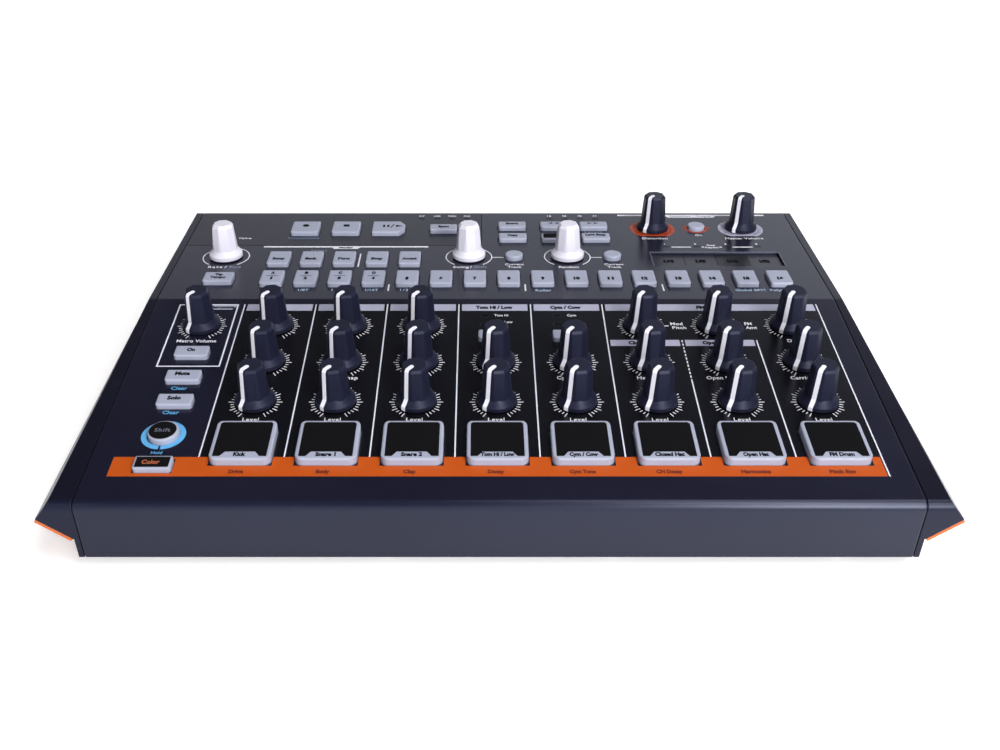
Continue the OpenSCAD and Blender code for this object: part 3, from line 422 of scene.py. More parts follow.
class Print:
    """Flat shapes of one colour on one plane, made as thin closed plates. Places are in millimetres."""

    def __init__(self, low=-0.02, high=USUAL):
        self.low, self.high = low, high
        self.bm = bmesh.new()

    def shape(self, points):
        self.bm.faces.new([self.bm.verts.new((x, y, 0)) for x, y in points])

    def bar(self, x0, y0, x1, y1):
        self.shape([(x0, y0), (x1, y0), (x1, y1), (x0, y1)])

    def block(self, x, y, half_width, half_depth):
        self.bar(x - half_width, y - half_depth, x + half_width, y + half_depth)

    def stroke(self, x0, y0, x1, y1, width):
        ax, ay = Vector((x1 - x0, y1 - y0)).normalized() * width / 2
        self.shape([(x0 + ay, y0 - ax), (x1 + ay, y1 - ax), (x1 - ay, y1 + ax), (x0 - ay, y0 + ax)])

    def ring(self, x, y, inner, outer, start=0, end=360, steps=48):
        """Part of a ring; the angles run clockwise from the rear."""
        angles = [math.radians(start + (end - start) * i / steps) for i in range(steps + 1)]
        for a, b in zip(angles, angles[1:]):
            self.shape([(x + r * math.sin(t), y + r * math.cos(t))
                        for r, t in ((inner, a), (outer, a), (outer, b), (inner, b))])

    def disc(self, x, y, radius, steps=24):
        angles = [math.tau * i / steps for i in range(steps)]
        self.shape([(x + radius * math.sin(a), y + radius * math.cos(a)) for a in angles])

    def sheet(self, outer, holes):
        """A rectangle without the rectangles in holes; each is (x0, y0, x1, y1)."""
        def cuts(low, high):
            inside = [min(max(h[i], outer[low]), outer[high]) for h in holes for i in (low, high)]
            return sorted({outer[low], outer[high], *inside})

        xs, ys = cuts(0, 2), cuts(1, 3)
        for x0, x1 in zip(xs, xs[1:]):
            for y0, y1 in zip(ys, ys[1:]):
                x, y = (x0 + x1) / 2, (y0 + y1) / 2
                if not any(h[0] < x < h[2] and h[1] < y < h[3] for h in holes):
                    self.bar(x0, y0, x1, y1)

    @staticmethod
    def drawn(label):
        """The mesh of a text object as it is now."""
        bpy.context.view_layer.update()
        return label.evaluated_get(bpy.context.evaluated_depsgraph_get()).to_mesh()

    def text(self, words, x, y, height, width=None, bold=FINE):
        """Letters or figures, centred on a place; height is that of a capital. A width spreads the letters
        a little, and stretches them for the rest."""
        curve = bpy.data.curves.new("label", "FONT")
        curve.body = words
        curve.align_x = "CENTER"
        curve.align_y = "CENTER"
        curve.resolution_u = 2
        curve.offset = bold
        label = bpy.data.objects.new("label", curve)
        bpy.context.scene.collection.objects.link(label)
        tall = height / CAPITAL
        across = [v.co.x for v in self.drawn(label).vertices]
        if width:
            curve.space_character = max(1, min(1.3, width / tall / (max(across) - min(across))))
        mesh = self.drawn(label)
        across = [v.co.x for v in mesh.vertices]
        wide = width / (max(across) - min(across)) if width else tall
        middle = (max(across) + min(across)) / 2
        points = [self.bm.verts.new((x + (v.co.x - middle) * wide, y + v.co.y * tall, 0))
                  for v in mesh.vertices]
        for polygon in mesh.polygons:
            self.bm.faces.new([points[i] for i in polygon.vertices])
        bpy.data.objects.remove(label)
        bpy.data.curves.remove(curve)

    def make(self, name, place, material, body="case", lift=0.0):
        """Thickens the flat shapes into plates and lays them on a plane."""
        flat = self.bm
        bmesh.ops.remove_doubles(flat, verts=flat.verts, dist=1e-4)
        solid = bmesh.new()
        upper = {v: solid.verts.new((v.co.x, v.co.y, lift + self.high)) for v in flat.verts}
        lower = {v: solid.verts.new((v.co.x, v.co.y, lift + self.low)) for v in flat.verts}
        for face in flat.faces:
            solid.faces.new([upper[v] for v in face.verts])
            solid.faces.new([lower[v] for v in reversed(face.verts)])
        for edge in flat.edges:
            if len(edge.link_faces) == 1:
                a, b = edge.verts
                solid.faces.new([upper[a], upper[b], lower[b], lower[a]])
        flat.free()
        return add_piece(name, solid, place, material, body)


# ------------------------------------------------------------------ knobs
TICKS = 31
TICK_START, TICK_STEP = -150, 10                   # degrees, clockwise from the rear
TICK_IN, TICK_SHORT, TICK_LONG = 7.9, 9.3, 10.1    # radii
REST_TURN = 143.5      # the pointer's angle at rest, anticlockwise from the rear
POINTER_W = 1.7
POINTER_HIGH, POINTER_LOW = 0.18, 0.03     # how far its two faces stand off the knob
POINTER_STEPS = 8      # of its round inner end
# Half the side view of a knob, as (radius, height)
SKIRT = [(7.5, 0.7), (7.5, 2.3), (7.25, 2.6), (6.79, 3.06), (6.33, 3.66), (5.86, 4.3), (5.59, 4.7)]
KNOB_TOP = 17.4
PROFILE = SKIRT + [(4.7, KNOB_TOP - 0.9), (4.1, KNOB_TOP), (0.9, KNOB_TOP)]


def offset_path(path, out):
    """Moves a path of (radius, height) outwards, with mitred corners."""
    moved = []
    for i, (r, z) in enumerate(path):
        before = Vector((r, z)) - Vector(path[i - 1]) if i else None
        after = Vector(path[i + 1]) - Vector((r, z)) if i + 1 < len(path) else None
        normals = [Vector((d.y, -d.x)).normalized() for d in (before, after) if d]
        mid = sum(normals, Vector((0, 0))).normalized()
        moved.append(Vector((r, z)) + mid * out / mid.dot(normals[0]))
    return moved


def make_pointer(body, place):
    """The white strip from near the middle of the top, over the edge and down to the rim."""
    outer, inner = offset_path(PROFILE, POINTER_HIGH), offset_path(PROFILE, POINTER_LOW)
    half = POINTER_W / 2
    bm = bmesh.new()
    stations = [(ro, zo, ri, zi, half) for (ro, zo), (ri, zi) in zip(outer[:-1], inner[:-1])]
    end_r = PROFILE[-1][0] + half
    for i in range(POINTER_STEPS + 1):
        a = math.pi / 2 * i / POINTER_STEPS
        r = end_r - half * math.sin(a)
        stations.append((r, outer[-1].y, r, inner[-1].y, max(half * math.cos(a), 0.02)))
    skin(bm, [[bm.verts.new(p) for p in ((-w, ro, zo), (w, ro, zo), (w, ri, zi), (-w, ri, zi))]
              for ro, zo, ri, zi, w in stations])
    turned = place @ Matrix.Rotation(math.radians(REST_TURN), 4, "Z")
    add_piece(body + "_pointer", bm, turned, POINTER, body)


def on(plane, x, y):
    """A section of the panel, moved so that its origin is at x and y."""
    return plane @ Matrix.Translation((x * MM, y * MM, 0))


def draw_ticks(layer, x, y, width, reach_front=None):
    """Ticks round a knob, every third one longer; reach_front is how far they may go to the front."""
    for i in range(TICKS):
        a = math.radians(TICK_START + TICK_STEP * i)
        s, c = math.sin(a), math.cos(a)
        outer = TICK_LONG if i % 3 == 0 else TICK_SHORT
        if reach_front is None or outer * -c < reach_front:
            layer.stroke(x + TICK_IN * s, y + TICK_IN * c, x + outer * s, y + outer * c, width)


METRONOME_X = -120.7
DISTORTION, MASTER, MASTER_V = 76.4, 118.8, 75.8
ENCODERS = (-122.7, -11.7, 33.3)
ENCODER_V = 43.2

ramp_knobs = [("metronome_knob", METRONOME_X, ROWS[0])]
ramp_knobs += [(f"top_knob_{n}", column(n), ROWS[0]) for n in (1, 2, 3, 6, 7, 8)]
ramp_knobs += [(f"tone_knob_{n}", column(n), ROWS[1]) for n in COLUMNS]
ramp_knobs += [(f"level_knob_{n}", column(n), ROWS[2]) for n in COLUMNS]

ticks = Print()
for body, x, v in ramp_knobs:
    make_pointer(body, on(RAMP, x, -v))
    draw_ticks(ticks, x, -v, 0.3)
ticks.make("dial_ticks", RAMP, WHITE_INK)
for body, x in (("distortion_knob", DISTORTION), ("master_knob", MASTER)):
    make_pointer(body, on(DECK, x, MASTER_V))


# ------------------------------------------------------------------ prints on the sloping section
LINE_W = 0.5
DASHES, DASH_STEP, DASH_LEN = 11, 2.4, 1.4
SHORT_FROM = 31                    # where the two lines within the broad last column begin
DASHED_TO = 57.5                   # where the dashed part of one of them ends
HEAD_IN, SIDE_HEAD_IN = 1.3, 1.1   # gaps between a head and the lines beside it
FRAME_LEFT, FRAME_RIGHT, FRAME_FAR, FRAME_W = -133.3, -108.3, 49.2, 0.6   # round the metronome's controls
HOLE_HALF_W = 11.25                # half the band's opening round a pad


def write(layer, rows, bold=FINE):
    """Adds words to a layer; a row is (words, x, y, height of a capital, width)."""
    for words, x, y, height, width in rows:
        layer.text(words, x, y, height, width, bold)


def print_columns():
    """The lines of the columns, the frame round the metronome's controls, and the pale heads."""
    lines = Print()
    for i in range(9):
        x = column_line(i)
        first = SHORT_FROM if i in (6, 7) else COLUMN_NEAR
        last = BAND_FAR if i == 8 else COLUMN_FAR
        if i == 6:
            for k in range(DASHES):
                v = first + DASH_STEP * k
                lines.bar(x - LINE_W / 2, -(v + DASH_LEN), x + LINE_W / 2, -v)
            first = DASHED_TO
        lines.bar(x - LINE_W / 2, -last, x + LINE_W / 2, -first)
    for v in (COLUMN_NEAR, FRAME_FAR - FRAME_W):
        lines.bar(FRAME_LEFT, -(v + FRAME_W), FRAME_RIGHT, -v)
    for x in (FRAME_LEFT, FRAME_RIGHT - FRAME_W):
        lines.bar(x, -(FRAME_FAR - FRAME_W), x + FRAME_W, -(COLUMN_NEAR + FRAME_W))
    lines.make("column_lines", RAMP, LINE_INK)

    heads = Print()
    for i in range(5):
        heads.bar(column_line(i) + HEAD_IN, -HEAD_FAR, column_line(i) + PITCH - HEAD_IN, -COLUMN_NEAR)
    heads.bar(column_line(5) + HEAD_IN, -HEAD_FAR, column_line(8) - SIDE_HEAD_IN, -COLUMN_NEAR)
    for i in (5, 6):
        heads.bar(column_line(i) + SIDE_HEAD_IN, -35, column_line(i) + PITCH - SIDE_HEAD_IN, -30.8)
    # The tab of the metronome's frame
    heads.shape([(-110.6, -8.3), (-108.6, -4.9), (-123.4, -4.9), (-121.4, -8.3)])
    heads.make("column_heads", RAMP, PALE_INK)


def print_band():
    """The orange band, open round the pads and the tone button."""
    band = Print(high=THIN)
    holes = [(column(i) - HOLE_HALF_W, -108.2, column(i) + HOLE_HALF_W, -80) for i in COLUMNS]
    holes.append((-127.75, -112.15, -113.65, -104.65))
    band.sheet((-135.7, -BAND_FAR, 134.3, -COLUMN_FAR), holes)
    band.make("orange_band", RAMP, ORANGE_INK)


def print_slope_labels():
    """The words on the sloping section, and the blue ring round the shift button."""
    white = Print()
    blue = Print()
    brown = Print(high=OVER)
    dark = Print(high=OVER)
    write(white, [("Level", column(i) - 0.2, -82.4, 2.0, 6.0) for i in COLUMNS])
    write(white, [
        ("Metro Volume", -120.9, -31.6, 2.1, 16.0),
        ("Snare Snap", column(2), -56.6, 2.1, 13.8), ("Cym Decay", column(5), -56.6, 2.1, 13.4),
        ("Hat Tone", column(6), -56.6, 2.1, 11.6), ("Open Hat Tone", column(7), -56.6, 2.1, 18.4),
        ("Carrier Env", column(8), -56.6, 2.1, 13.8), ("Decay", 120.8, -31.4, 2.1, 7),
        ("Mod", 74.2, -19.2, 2.1, 5.0), ("Pitch", 75.0, -22.0, 2.1, 5.7),
        ("FM", 103.7, -19.2, 2.1, 3.0), ("Amt", 104.5, -22.0, 2.1, 4.6)])
    white.bar(68.8, -20.8, 70.8, -20.4)
    write(white, [
        ("Tom Hi", 2.2, -12.8, 1.6, 5.8), ("Tom Low", 3.0, -17.8, 1.6, 7.6),
        ("Cym", 31.4, -12.8, 1.6, 3.8), ("Cow", 31.6, -17.8, 1.6, 4.0)])
    write(blue, [
        ("Clear", -121.2, -63.3, 2.1, 6.2), ("Clear", -121.2, -78.2, 2.1, 6.2),
        ("Hold", -121.2, -101.2, 1.6, 4.0)])
    blue.ring(SHIFT_X, SHIFT_Y, 6.0, 8.0, 183, 537)
    band_words = (("Drive", 5.2), ("Body", 4.8), ("Clap", 4.4), ("Decay", 5.8), ("Cym Tone", 9.2),
                  ("CH Decay", 9.2), ("Harmonics", 10.4), ("Pitch Env", 9.4))
    write(brown, [(words, column(i) - 0.6, -111.4, 1.9, width)
                  for i, (words, width) in zip(COLUMNS, band_words)], LIGHT)
    write(dark, [
        ("Tom Hi / Low", column(4) - 0.2, -6.8, 2.2, 15.6), ("Cym / Cow", column(5) - 0.4, -6.8, 2.2, 13.0),
        ("FM", 86.0, -6.8, 2.2, 3.6)], HEAVY)
    write(dark, [
        ("Metronome", -115.0, -6.6, 2.1, 10.4), ("Closed", 57.0, -32.9, 2.2, 8),
        ("Open", 86.0, -32.9, 2.2, 6.4)], MEDIUM)
    white.make("white_labels", RAMP, WHITE_INK)
    blue.make("blue_labels", RAMP, BLUE_INK)
    brown.make("band_labels", RAMP, BROWN_INK, lift=OVER_LIFT)
    dark.make("head_labels", RAMP, DARK_INK, lift=OVER_LIFT)


print_columns()
print_band()
print_slope_labels()

# ------------------------------------------------------------------ prints on the level section
RING_IN, RING_OUT, RING_CUT = 4.0, 10.7, 8.5   # the filled rings under the two knobs at the rear
ON_X, ON_V = 97.4, 76.5                        # the round button between them


def trimmed_ring(layer, x, y, inner, outer, cut, steps=10):
    """A filled ring whose front is cut off straight, at distance cut from its middle."""
    limit = math.degrees(math.acos(cut / outer))
    layer.ring(x, y, inner, outer, -180 + limit, 180 - limit, 40)
    edge = [math.radians(180 - limit + 2 * limit * i / steps) for i in range(steps + 1)]
    for a, b in zip(edge, edge[1:]):
        layer.shape([(x + inner * math.sin(a), y + inner * math.cos(a)), (x - cut * math.tan(a), y - cut),
                     (x - cut * math.tan(b), y - cut), (x + inner * math.sin(b), y + inner * math.cos(b))])


def print_deck_white():
    """White lines, rings and words."""
    white = Print()
    # The line over the mode buttons with its tab, and the stroke beside the last of them
    white.bar(-107.3, 54.0, -30.7, 55.3)
    white.shape([(-75.8, 54.1), (-62, 54.1), (-63.6, 52.3), (-74.4, 52.3)])
    white.bar(-61.8, 32.5, -61.2, 46.7)
    # The strokes between each four step buttons
    for x in (-46.3, 13, 72.7):
        white.bar(x - 0.3, 7.8, x + 0.3, 14.2)
    # The line over the two knobs at the rear, with its tab
    white.bar(61.3, 92.3, 133.7, 93.7)
    white.shape([(84.4, 92.4), (110.0, 92.4), (108.4, 90.2), (86.0, 90.2)])
    for x in ENCODERS:
        white.ring(x, ENCODER_V, 10.2, 10.65, -142, 142)
    for x in ENCODERS[1:]:
        white.bar(x + 10.6, 42.5, x + 15.8, 42.9)
    write(white, [
        ("Value", -118.0, 64.6, 1.9, 6.2), ("Rate", -125.6, 32.2, 2.1, 6.4), ("/", -120.9, 32.2, 2.2, 0.9),
        ("Swing", -15.2, 32.1, 2.1, 7.0), ("/", -10.7, 32.1, 2.2, 0.9), ("Random", 33.3, 32.1, 2.1, 9.0),
        ("Current", 8.9, 35.0, 1.9, 8.6), ("Track", 8.9, 32.1, 1.9, 6.2),
        ("Current", 53.8, 35.0, 1.9, 8.6), ("Track", 53.8, 32.1, 1.9, 6.2),
        ("Distortion", 76.2, 64.4, 2.1, 12.0), ("Master Volume", 118.5, 64.4, 2.1, 18.0),
        ("On", ON_X, 68.2, 1.9, 3.4),
        ("1", 79.9, 57.8, 1.7, None), ("2", 94.1, 57.8, 1.7, None),
        ("3", 108.3, 57.8, 1.7, None), ("4", 122.7, 57.8, 1.7, None),
        ("Step", 101.3, 56.4, 1.7, 4.0), ("Repeat", 101.3, 53.8, 1.7, 6.2)])
    write(white, [(str(16 * (i + 1)), 27.5 + 7.5 * i, 92.2, 1.7, 2.0) for i in range(4)])
    write(white, [
        ("INT", -35.3, 92.0, 1.6, 2.8), ("USB", -27.8, 92.0, 1.6, 3.4),
        ("MIDI", -20.4, 92.0, 1.6, 3.9), ("CLK", -13.0, 92.0, 1.6, 3.4)])
    for x0, x1 in ((82.6, 91.6), (96.6, 97.8), (104.8, 106.0), (111.0, 120.4)):
        white.bar(x0, 53.9, x1, 54.7)
    white.make("deck_white_prints", DECK, WHITE_INK)


def print_deck_blue():
    """Two shades of blue words, for what a button does with the shift button held."""
    pale = Print()
    write(pale, [
        ("1/8T", -82.9, 8.6, 2.0, 4.6), ("1/16", -68.2, 8.6, 2.0, 5.0), ("1/16T", -53.4, 8.6, 2.0, 5.6),
        ("1/32", -38.5, 8.6, 2.0, 5.2), ("Roller", 20.7, 8.2, 2.0, 6.8),
        ("Global BPM", 110.0, 8.4, 2.0, 12.9), ("Polyrhythm", 125.0, 8.4, 2.0, 13.0)])
    pale.make("deck_pale_blue_labels", DECK, PALE_BLUE_INK)
    dull = Print()
    write(dull, [
        ("Fine", -116.6, 32.2, 2.1, 5.0), ("Shift", -6.5, 32.1, 2.1, 5.6),
        ("Unquantized", -90.3, 64.8, 1.9, 14.4), ("Select", -81.2, 50.4, 1.9, 7.4),
        ("Length", 47.8, 71.9, 1.9, 8.2)])
    dull.make("deck_dull_blue_labels", DECK, DULL_BLUE_INK)


def print_deck_marks():
    """The rings under the knobs at the rear with their ticks, the grey and dark marks, and a painted
    highlight round the touch strip's recess.
    """
    grey = Print()
    trimmed_ring(grey, MASTER, MASTER_V, RING_IN, RING_OUT, RING_CUT)
    grey.make("master_ring", DECK, PALE_INK)
    orange = Print()
    trimmed_ring(orange, DISTORTION, MASTER_V, RING_IN, RING_OUT, RING_CUT)
    orange.ring(ON_X, ON_V, 4.5, 5.6)
    for m in (-1, 1):
        orange.shape([(ON_X + m * 5.2, 78.3), (ON_X + m * 6.7, ON_V), (ON_X + m * 5.2, 74.7)][::m])
    orange.make("deck_orange_rings", DECK, RUST_INK)
    dark = Print(high=OVER)
    for x in (DISTORTION, MASTER):
        draw_ticks(dark, x, MASTER_V, 0.34, 8.3)
    dark.text("Modes", -69.0, 53.5, 1.6, 6.4, MEDIUM)
    dark.make("deck_dark_marks", DECK, DARK_INK, lift=OVER_LIFT)
    grey = Print(high=OVER)
    grey.text("Distortion / Output", 97.2, 91.6, 1.9, 20.0)
    # A painted highlight along the rim of the touch strip's recess, drawn as a thin grey frame
    for edge in ((71.6, 48.4, 131.2, 48.75), (71.6, 33.2, 71.9, 48.4), (130.9, 33.2, 131.2, 48.4)):
        grey.bar(*edge)
    grey.make("deck_grey_marks_and_rim_highlight", DECK, GREY_INK_AND_RIM_HIGHLIGHT, lift=OVER_LIFT)
    hairline = Print(high=THIN)
    hairline.bar(-6.0, BLOCK_NEAR, BLOCK_RIGHT, BLOCK_FAR)
    hairline.bar(-143, 56.3, BLOCK_RIGHT, 56.6)
    hairline.make("deck_hairlines", DECK, DARK_INK)


print_deck_white()
print_deck_blue()
print_deck_marks()

# ------------------------------------------------------------------ touch strip
STRIP_X, STRIP_V, STRIP_W, STRIP_D = 101.4, 40.9, 59.0, 14.6
SEGMENT = (STRIP_W - 0.5) / 4
SEAM = 0.12                # half the gap between two segments
FILM_LOW, FILM_HIGH = -1.55, -1.25


def print_touch_strip():
    """Four segments of film at the foot of the strip's recess, and their words."""
    near, far = STRIP_V - STRIP_D / 2 + 0.3, STRIP_V + STRIP_D / 2 - 0.3
    for k in range(4):
        film = Print(FILM_LOW, FILM_HIGH)
        left = STRIP_X - STRIP_W / 2 + 0.25 + k * SEGMENT
        film.bar(left + SEAM, near, left + SEGMENT - SEAM, far)
        film.make(f"touch_segment_{k + 1}", DECK, STRIP_DARK if k == 2 else STRIP)
    words = Print(low=-1.3, high=-1.2)
    write(words, [(word, STRIP_X + (k - 1.5) * 14.6, STRIP_V + 0.2, 2.7, 4.8)
                  for k, word in enumerate(("1/4", "1/8", "1/16", "1/32"))], 0.09)
    words.make("touch_strip_labels", DECK, DARK_INK)


print_touch_strip()

# ------------------------------------------------------------------ button legends
STEP_X, STEP_PITCH = -97.8, 14.82
TAP_X, LEFT_X = -121.3, -121.0
LOOP_X, LOOP_V = 29, 63.2
TONE_X, TONE_V = -120.7, 108.4


def print_step_legends():
    """Figures on the 16 step buttons; the first four have a letter and a line above the figure."""
    legend = Print(high=THIN)
    for k in range(16):
        x = STEP_X + STEP_PITCH * k
        if k < 4:
            legend.text("ABCD"[k], x, 21.8, 2.2, 1.7, BOLD)
            legend.bar(x - 2.5, 18.7, x + 2.5, 19.05)
            legend.text(str(k + 1), x, 16.4, 2.2, 0.9 if k == 0 else 1.5, BOLD)
        else:
            legend.text(str(k + 1), x, 16.2, 2.5, 1.5 if k < 9 else 2.8, BOLD)
    legend.make("step_legends", DECK, DARK_INK, "step_buttons", lift=BUTTON_TOP)


def print_words_on_buttons(name, plane, body, rows, bold):
    legend = Print(high=THIN)
    write(legend, rows, bold)
    legend.make(name, plane, DARK_INK, body, lift=BUTTON_TOP)


def print_transport_legends():
    """The usual signs for record, stop, and play or pause."""
    legend = Print(high=THIN)
    legend.disc(-90.3, 75.4, 1.55)
    legend.bar(-72.2, 74.1, -69.4, 76.7)
    for x in (-53.2, -51.2):
        legend.bar(x, 73.6, x + 1.0, 76.2)
    legend.stroke(-49.4, 72.9, -48.0, 76.9, 0.5)
    legend.shape([(-47.0, 73.6), (-43.8, 74.9), (-47.0, 76.2)])
    legend.make("transport_legends", DECK, DARK_INK, "transport_buttons", lift=BUTTON_TOP)


def print_edit_legends():
    """Words, and double arrows to the left and to the right."""
    legend = Print(high=THIN)
    write(legend, [
        ("Sync", -24.2, 74.2, 2.2, 5.2), ("Erase", 8.8, 78.0, 2.2, 6.0), ("Copy", 8.8, 63.7, 2.2, 5.0),
        ("Last Step", 48, 64.2, 2.2, 9.6)], MEDIUM)
    for x, turn in ((29, -1), (48, 1)):
        for k in (-1.7, 1.3):
            legend.shape([(x + k - turn, 79.3), (x + k + turn * 1.4, 78.4), (x + k - turn, 77.5)][::-turn])
    legend.make("edit_legends", DECK, DARK_INK, "edit_buttons", lift=BUTTON_TOP)


def print_black_tops():
    """Buttons with a black printed top, and the words on two of them."""
    top = Print(high=0.06)
    top.block(LOOP_X, LOOP_V, 5.8, 2.7)
    top.make("loop_button_top", DECK, INLAY, "edit_buttons", lift=BUTTON_TOP)
    top = Print(high=0.06)
    top.block(TONE_X, -TONE_V, 5.9, 2.7)
    top.make("tone_button_top", RAMP, INLAY, "channel_buttons", lift=BUTTON_TOP)
    legend = Print(low=0.02, high=0.1)
    legend.text("Color", TAP_X, -108.6, 2.2, 6.2)
    legend.make("tone_button_legend", RAMP, SOFT_ORANGE_INK, "channel_buttons", lift=BUTTON_TOP)
    top = Print(high=0.08)
    top.disc(SHIFT_X, SHIFT_Y, 4.95, 48)
    top.make("shift_button_top", RAMP, INLAY, "shift_button", lift=SHIFT_TOP)
    legend = Print(low=0.02, high=0.12)
    legend.text("Shift", SHIFT_X, -91.4, 2.0, 5.6)
    legend.make("shift_button_legend", RAMP, GREY_INK_AND_RIM_HIGHLIGHT, "shift_button", lift=SHIFT_TOP)


print_step_legends()
print_words_on_buttons("mode_legends", DECK, "mode_buttons", [
    (words, STEP_X + STEP_PITCH * k, 37.0, 2.2, 5.4 if k < 4 else 6.6)
    for k, words in enumerate(("Song", "Bank", "Ptrn", "Step", "Accent"))], MEDIUM)
print_transport_legends()
print_edit_legends()
print_words_on_buttons("tap_legend", DECK, "tap_button", [
    ("Tap", TAP_X, 20.2, 2.0, 3.6), ("Tempo", TAP_X, 17.4, 2.0, 6.8)], MEDIUM)
print_words_on_buttons("channel_legends", RAMP, "channel_buttons", [
    ("On", LEFT_X, -40.4, 2.2, 3.2), ("Mute", LEFT_X, -56.4, 2.2, 5.8), ("Solo", LEFT_X, -71.8, 2.2, 5.2)],
    LIGHT)
print_black_tops()

# ------------------------------------------------------------------ pads
PAD_HALF_W, PAD_HALF_D = 10.9, 10.75
INLAY_SIDE, INLAY_FRONT, INLAY_REAR = 1.45, 1.5, 1.2   # width of the frame round the inlay
# The levels of an inlay and how much wider it is there: its foot, its edge and its flat top
INLAY_LEVELS = ((PAD_TOP - 0.2, 0.03), (PAD_TOP + 0.06, 0.03), (PAD_TOP + 0.16, -0.1))
PAD_WORDS = (("Kick", 4.4), ("Snare 1", 7.2), ("Snare 2", 7.5), ("Tom Hi / Low", 11.9), ("Cym / Cow", 10.1),
             ("Closed Hat", 10.4), ("Open Hat", 9.0), ("FM Drum", 8.7))


def inlay_points(x, y, grow):
    """The outline of a pad's inlay, with a bump of the frame left clear in the middle of its front."""
    w = PAD_HALF_W - INLAY_SIDE + grow
    f = -PAD_HALF_D + INLAY_FRONT - grow
    r = PAD_HALF_D - INLAY_REAR + grow
    notch, deep, run = 5.3 - grow, 2.4, 1.7
    return [(x + dx, y + dy) for dx, dy in (
        (-w, r - 0.8), (-w + 0.8, r), (w - 0.8, r), (w, r - 0.8), (w, f), (notch + run, f),
        (notch, f + deep), (-notch, f + deep), (-notch - run, f), (-w, f))]


def make_inlay(n):
    bm = bmesh.new()
    skin(bm, [[bm.verts.new((x, y, z)) for x, y in inlay_points(column(n), -PAD_V, grow)]
              for z, grow in INLAY_LEVELS])
    add_piece(f"pad_{n}_inlay", bm, RAMP, INLAY, f"pad_{n}")


for n, (words, width) in zip(COLUMNS, PAD_WORDS):
    make_inlay(n)
    legend = Print(high=THIN)
    legend.text(words, column(n), -105.6, 1.95, width, LIGHT)
    legend.make(f"pad_{n}_legend", RAMP, DARK_INK, f"pad_{n}", lift=PAD_TOP)


# ------------------------------------------------------------------ studio
FLOOR_HALF = 8             # metres
FLOOR_DROP = 0.0001        # keeps the floor clear of the feet
FLOOR_NEAR, FLOOR_FAR = 0.4, 1.3   # metres from the middle, between which its glow rises in full


def make_floor():
    """A pale floor that keeps the shadow near the machine and goes on as a white backdrop far from it."""
    bm = bmesh.new()
    bmesh.ops.create_grid(bm, x_segments=1, y_segments=1, size=FLOOR_HALF)
    mesh = bpy.data.meshes.new("floor")
    bm.to_mesh(mesh)
    bm.free()
    floor = bpy.data.objects.new("floor", mesh)
    floor.location.z = -FLOOR_DROP
    bpy.context.scene.collection.objects.link(floor)
    material = bpy.data.materials.new("pale_floor")
    material.use_nodes = True
    material.node_tree.nodes.clear()
    t = Tree(material.node_tree)
    path = t.node("LightPath").outputs
    seen = t.math("MAXIMUM", path["Is Camera Ray"],
                  t.math("MAXIMUM", path["Is Glossy Ray"], path["Is Transmission Ray"]))
    place = t.node("TexCoord").outputs["Object"]
    away = t.node("VectorMath", operation="LENGTH", inputs={0: place}).outputs["Value"]
    backdrop = t.node("MapRange", interpolation_type="SMOOTHSTEP", inputs={
        "Value": away, "From Min": FLOOR_NEAR, "From Max": FLOOR_FAR, "To Min": 0.45,
        "To Max": 1.0}).outputs[0]
    # Its reflections are brighter on the right
    beside = t.node("MapRange", inputs={
        "Value": t.node("SeparateXYZ", inputs={0: place}).outputs[0], "From Min": -0.15, "From Max": 0.15,
        "To Min": 0.4, "To Max": 1.7}).outputs[0]
    share = t.node("Mix", inputs={0: path["Is Camera Ray"], 2: beside, 3: 1.0}).outputs[0]
    glow_level = t.math("MULTIPLY", seen, t.math("MULTIPLY", backdrop, share))
    matt = t.node("BsdfDiffuse", inputs={"Color": (0.88, 0.88, 0.88, 1)}).outputs[0]
    glow = t.node("Emission", inputs={"Color": (1, 1, 1, 1), "Strength": glow_level}).outputs[0]
    both = t.node("AddShader", inputs={0: matt, 1: glow}).outputs[0]
    t.node("OutputMaterial", inputs={0: both})
    mesh.materials.append(material)


SKY_TINT = (0.9, 0.93, 1.0, 1)
SKY_LEVEL, SKY_OVERHEAD = 1.05, 0.03
SKY_TOP = (0.44, 0.62)     # sines of the heights between which the bright part ends


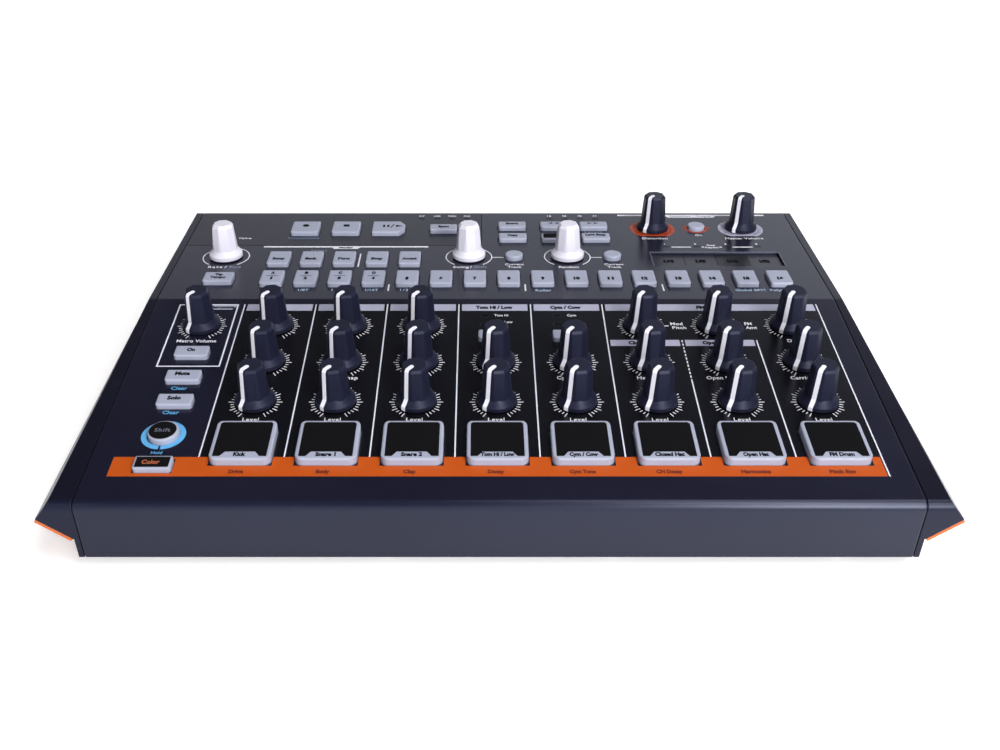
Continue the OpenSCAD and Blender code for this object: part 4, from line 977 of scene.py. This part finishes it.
def make_world():
    """A cool white near the horizon and dim overhead, a little brighter to the right, so that the level
    section shines and the slope stays dark. The camera itself sees plain white."""
    world = bpy.data.worlds.new("studio")
    bpy.context.scene.world = world
    world.use_nodes = True
    world.node_tree.nodes.clear()
    t = Tree(world.node_tree)
    parts = t.node("SeparateXYZ", inputs={0: t.node("TexCoord").outputs["Generated"]}).outputs
    # The bright part reaches higher on the right and fades far to either side
    rise = t.math("SUBTRACT", parts[2], t.math("MULTIPLY", parts[0], 0.15))
    aside = t.node("MapRange", interpolation_type="SMOOTHSTEP", inputs={
        "Value": t.math("ABSOLUTE", parts[0]), "From Min": 0.35, "From Max": 0.75, "To Min": 1.0,
        "To Max": 0.25}).outputs[0]
    bright = t.math("MULTIPLY", aside, t.math("ADD", 0.78, t.math("MULTIPLY", parts[0], 0.56)))
    level = t.node("MapRange", interpolation_type="SMOOTHSTEP", inputs={
        "Value": rise, "From Min": SKY_TOP[0], "From Max": SKY_TOP[1], "To Min": bright,
        "To Max": SKY_OVERHEAD}).outputs[0]
    seen = t.node("LightPath").outputs["Is Camera Ray"]
    color = t.mix(seen, SKY_TINT, (1, 1, 1, 1))
    strength = t.node("Mix", inputs={0: seen, 2: t.math("MULTIPLY", level, SKY_LEVEL), 3: 1.0}).outputs[0]
    sky = t.node("Background", inputs={"Color": color, "Strength": strength}).outputs[0]
    t.node("OutputWorld", inputs={0: sky})


def add_lamp(name, place, wide, tall, power):
    """A soft lamp that points at the middle of the floor; metres and watts."""
    lamp = bpy.data.lights.new(name, "AREA")
    lamp.shape = "RECTANGLE"
    lamp.size = wide
    lamp.size_y = tall
    lamp.energy = power
    lamp_object = bpy.data.objects.new(name, lamp)
    lamp_object.location = place
    aim = Vector((0, 0, 0)) - Vector(place)
    lamp_object.rotation_euler = aim.to_track_quat("-Z", "Y").to_euler()
    bpy.context.scene.collection.objects.link(lamp_object)


make_floor()
make_world()
add_lamp("front_lamp", (0.53, -1.22, 0.48), 0.4, 0.92, 15.2)
add_lamp("high_lamp", (0.5, -0.74, 1.2), 0.4, 0.72, 9.5)
add_lamp("top_lamp", (0.5, 0.1, 1.5), 0.5, 0.9, 6.5)
add_lamp("left_lamp", (-0.95, -1.05, 0.7), 0.35, 1.0, 3.2)
bpy.context.scene.view_settings.view_transform = "Standard"
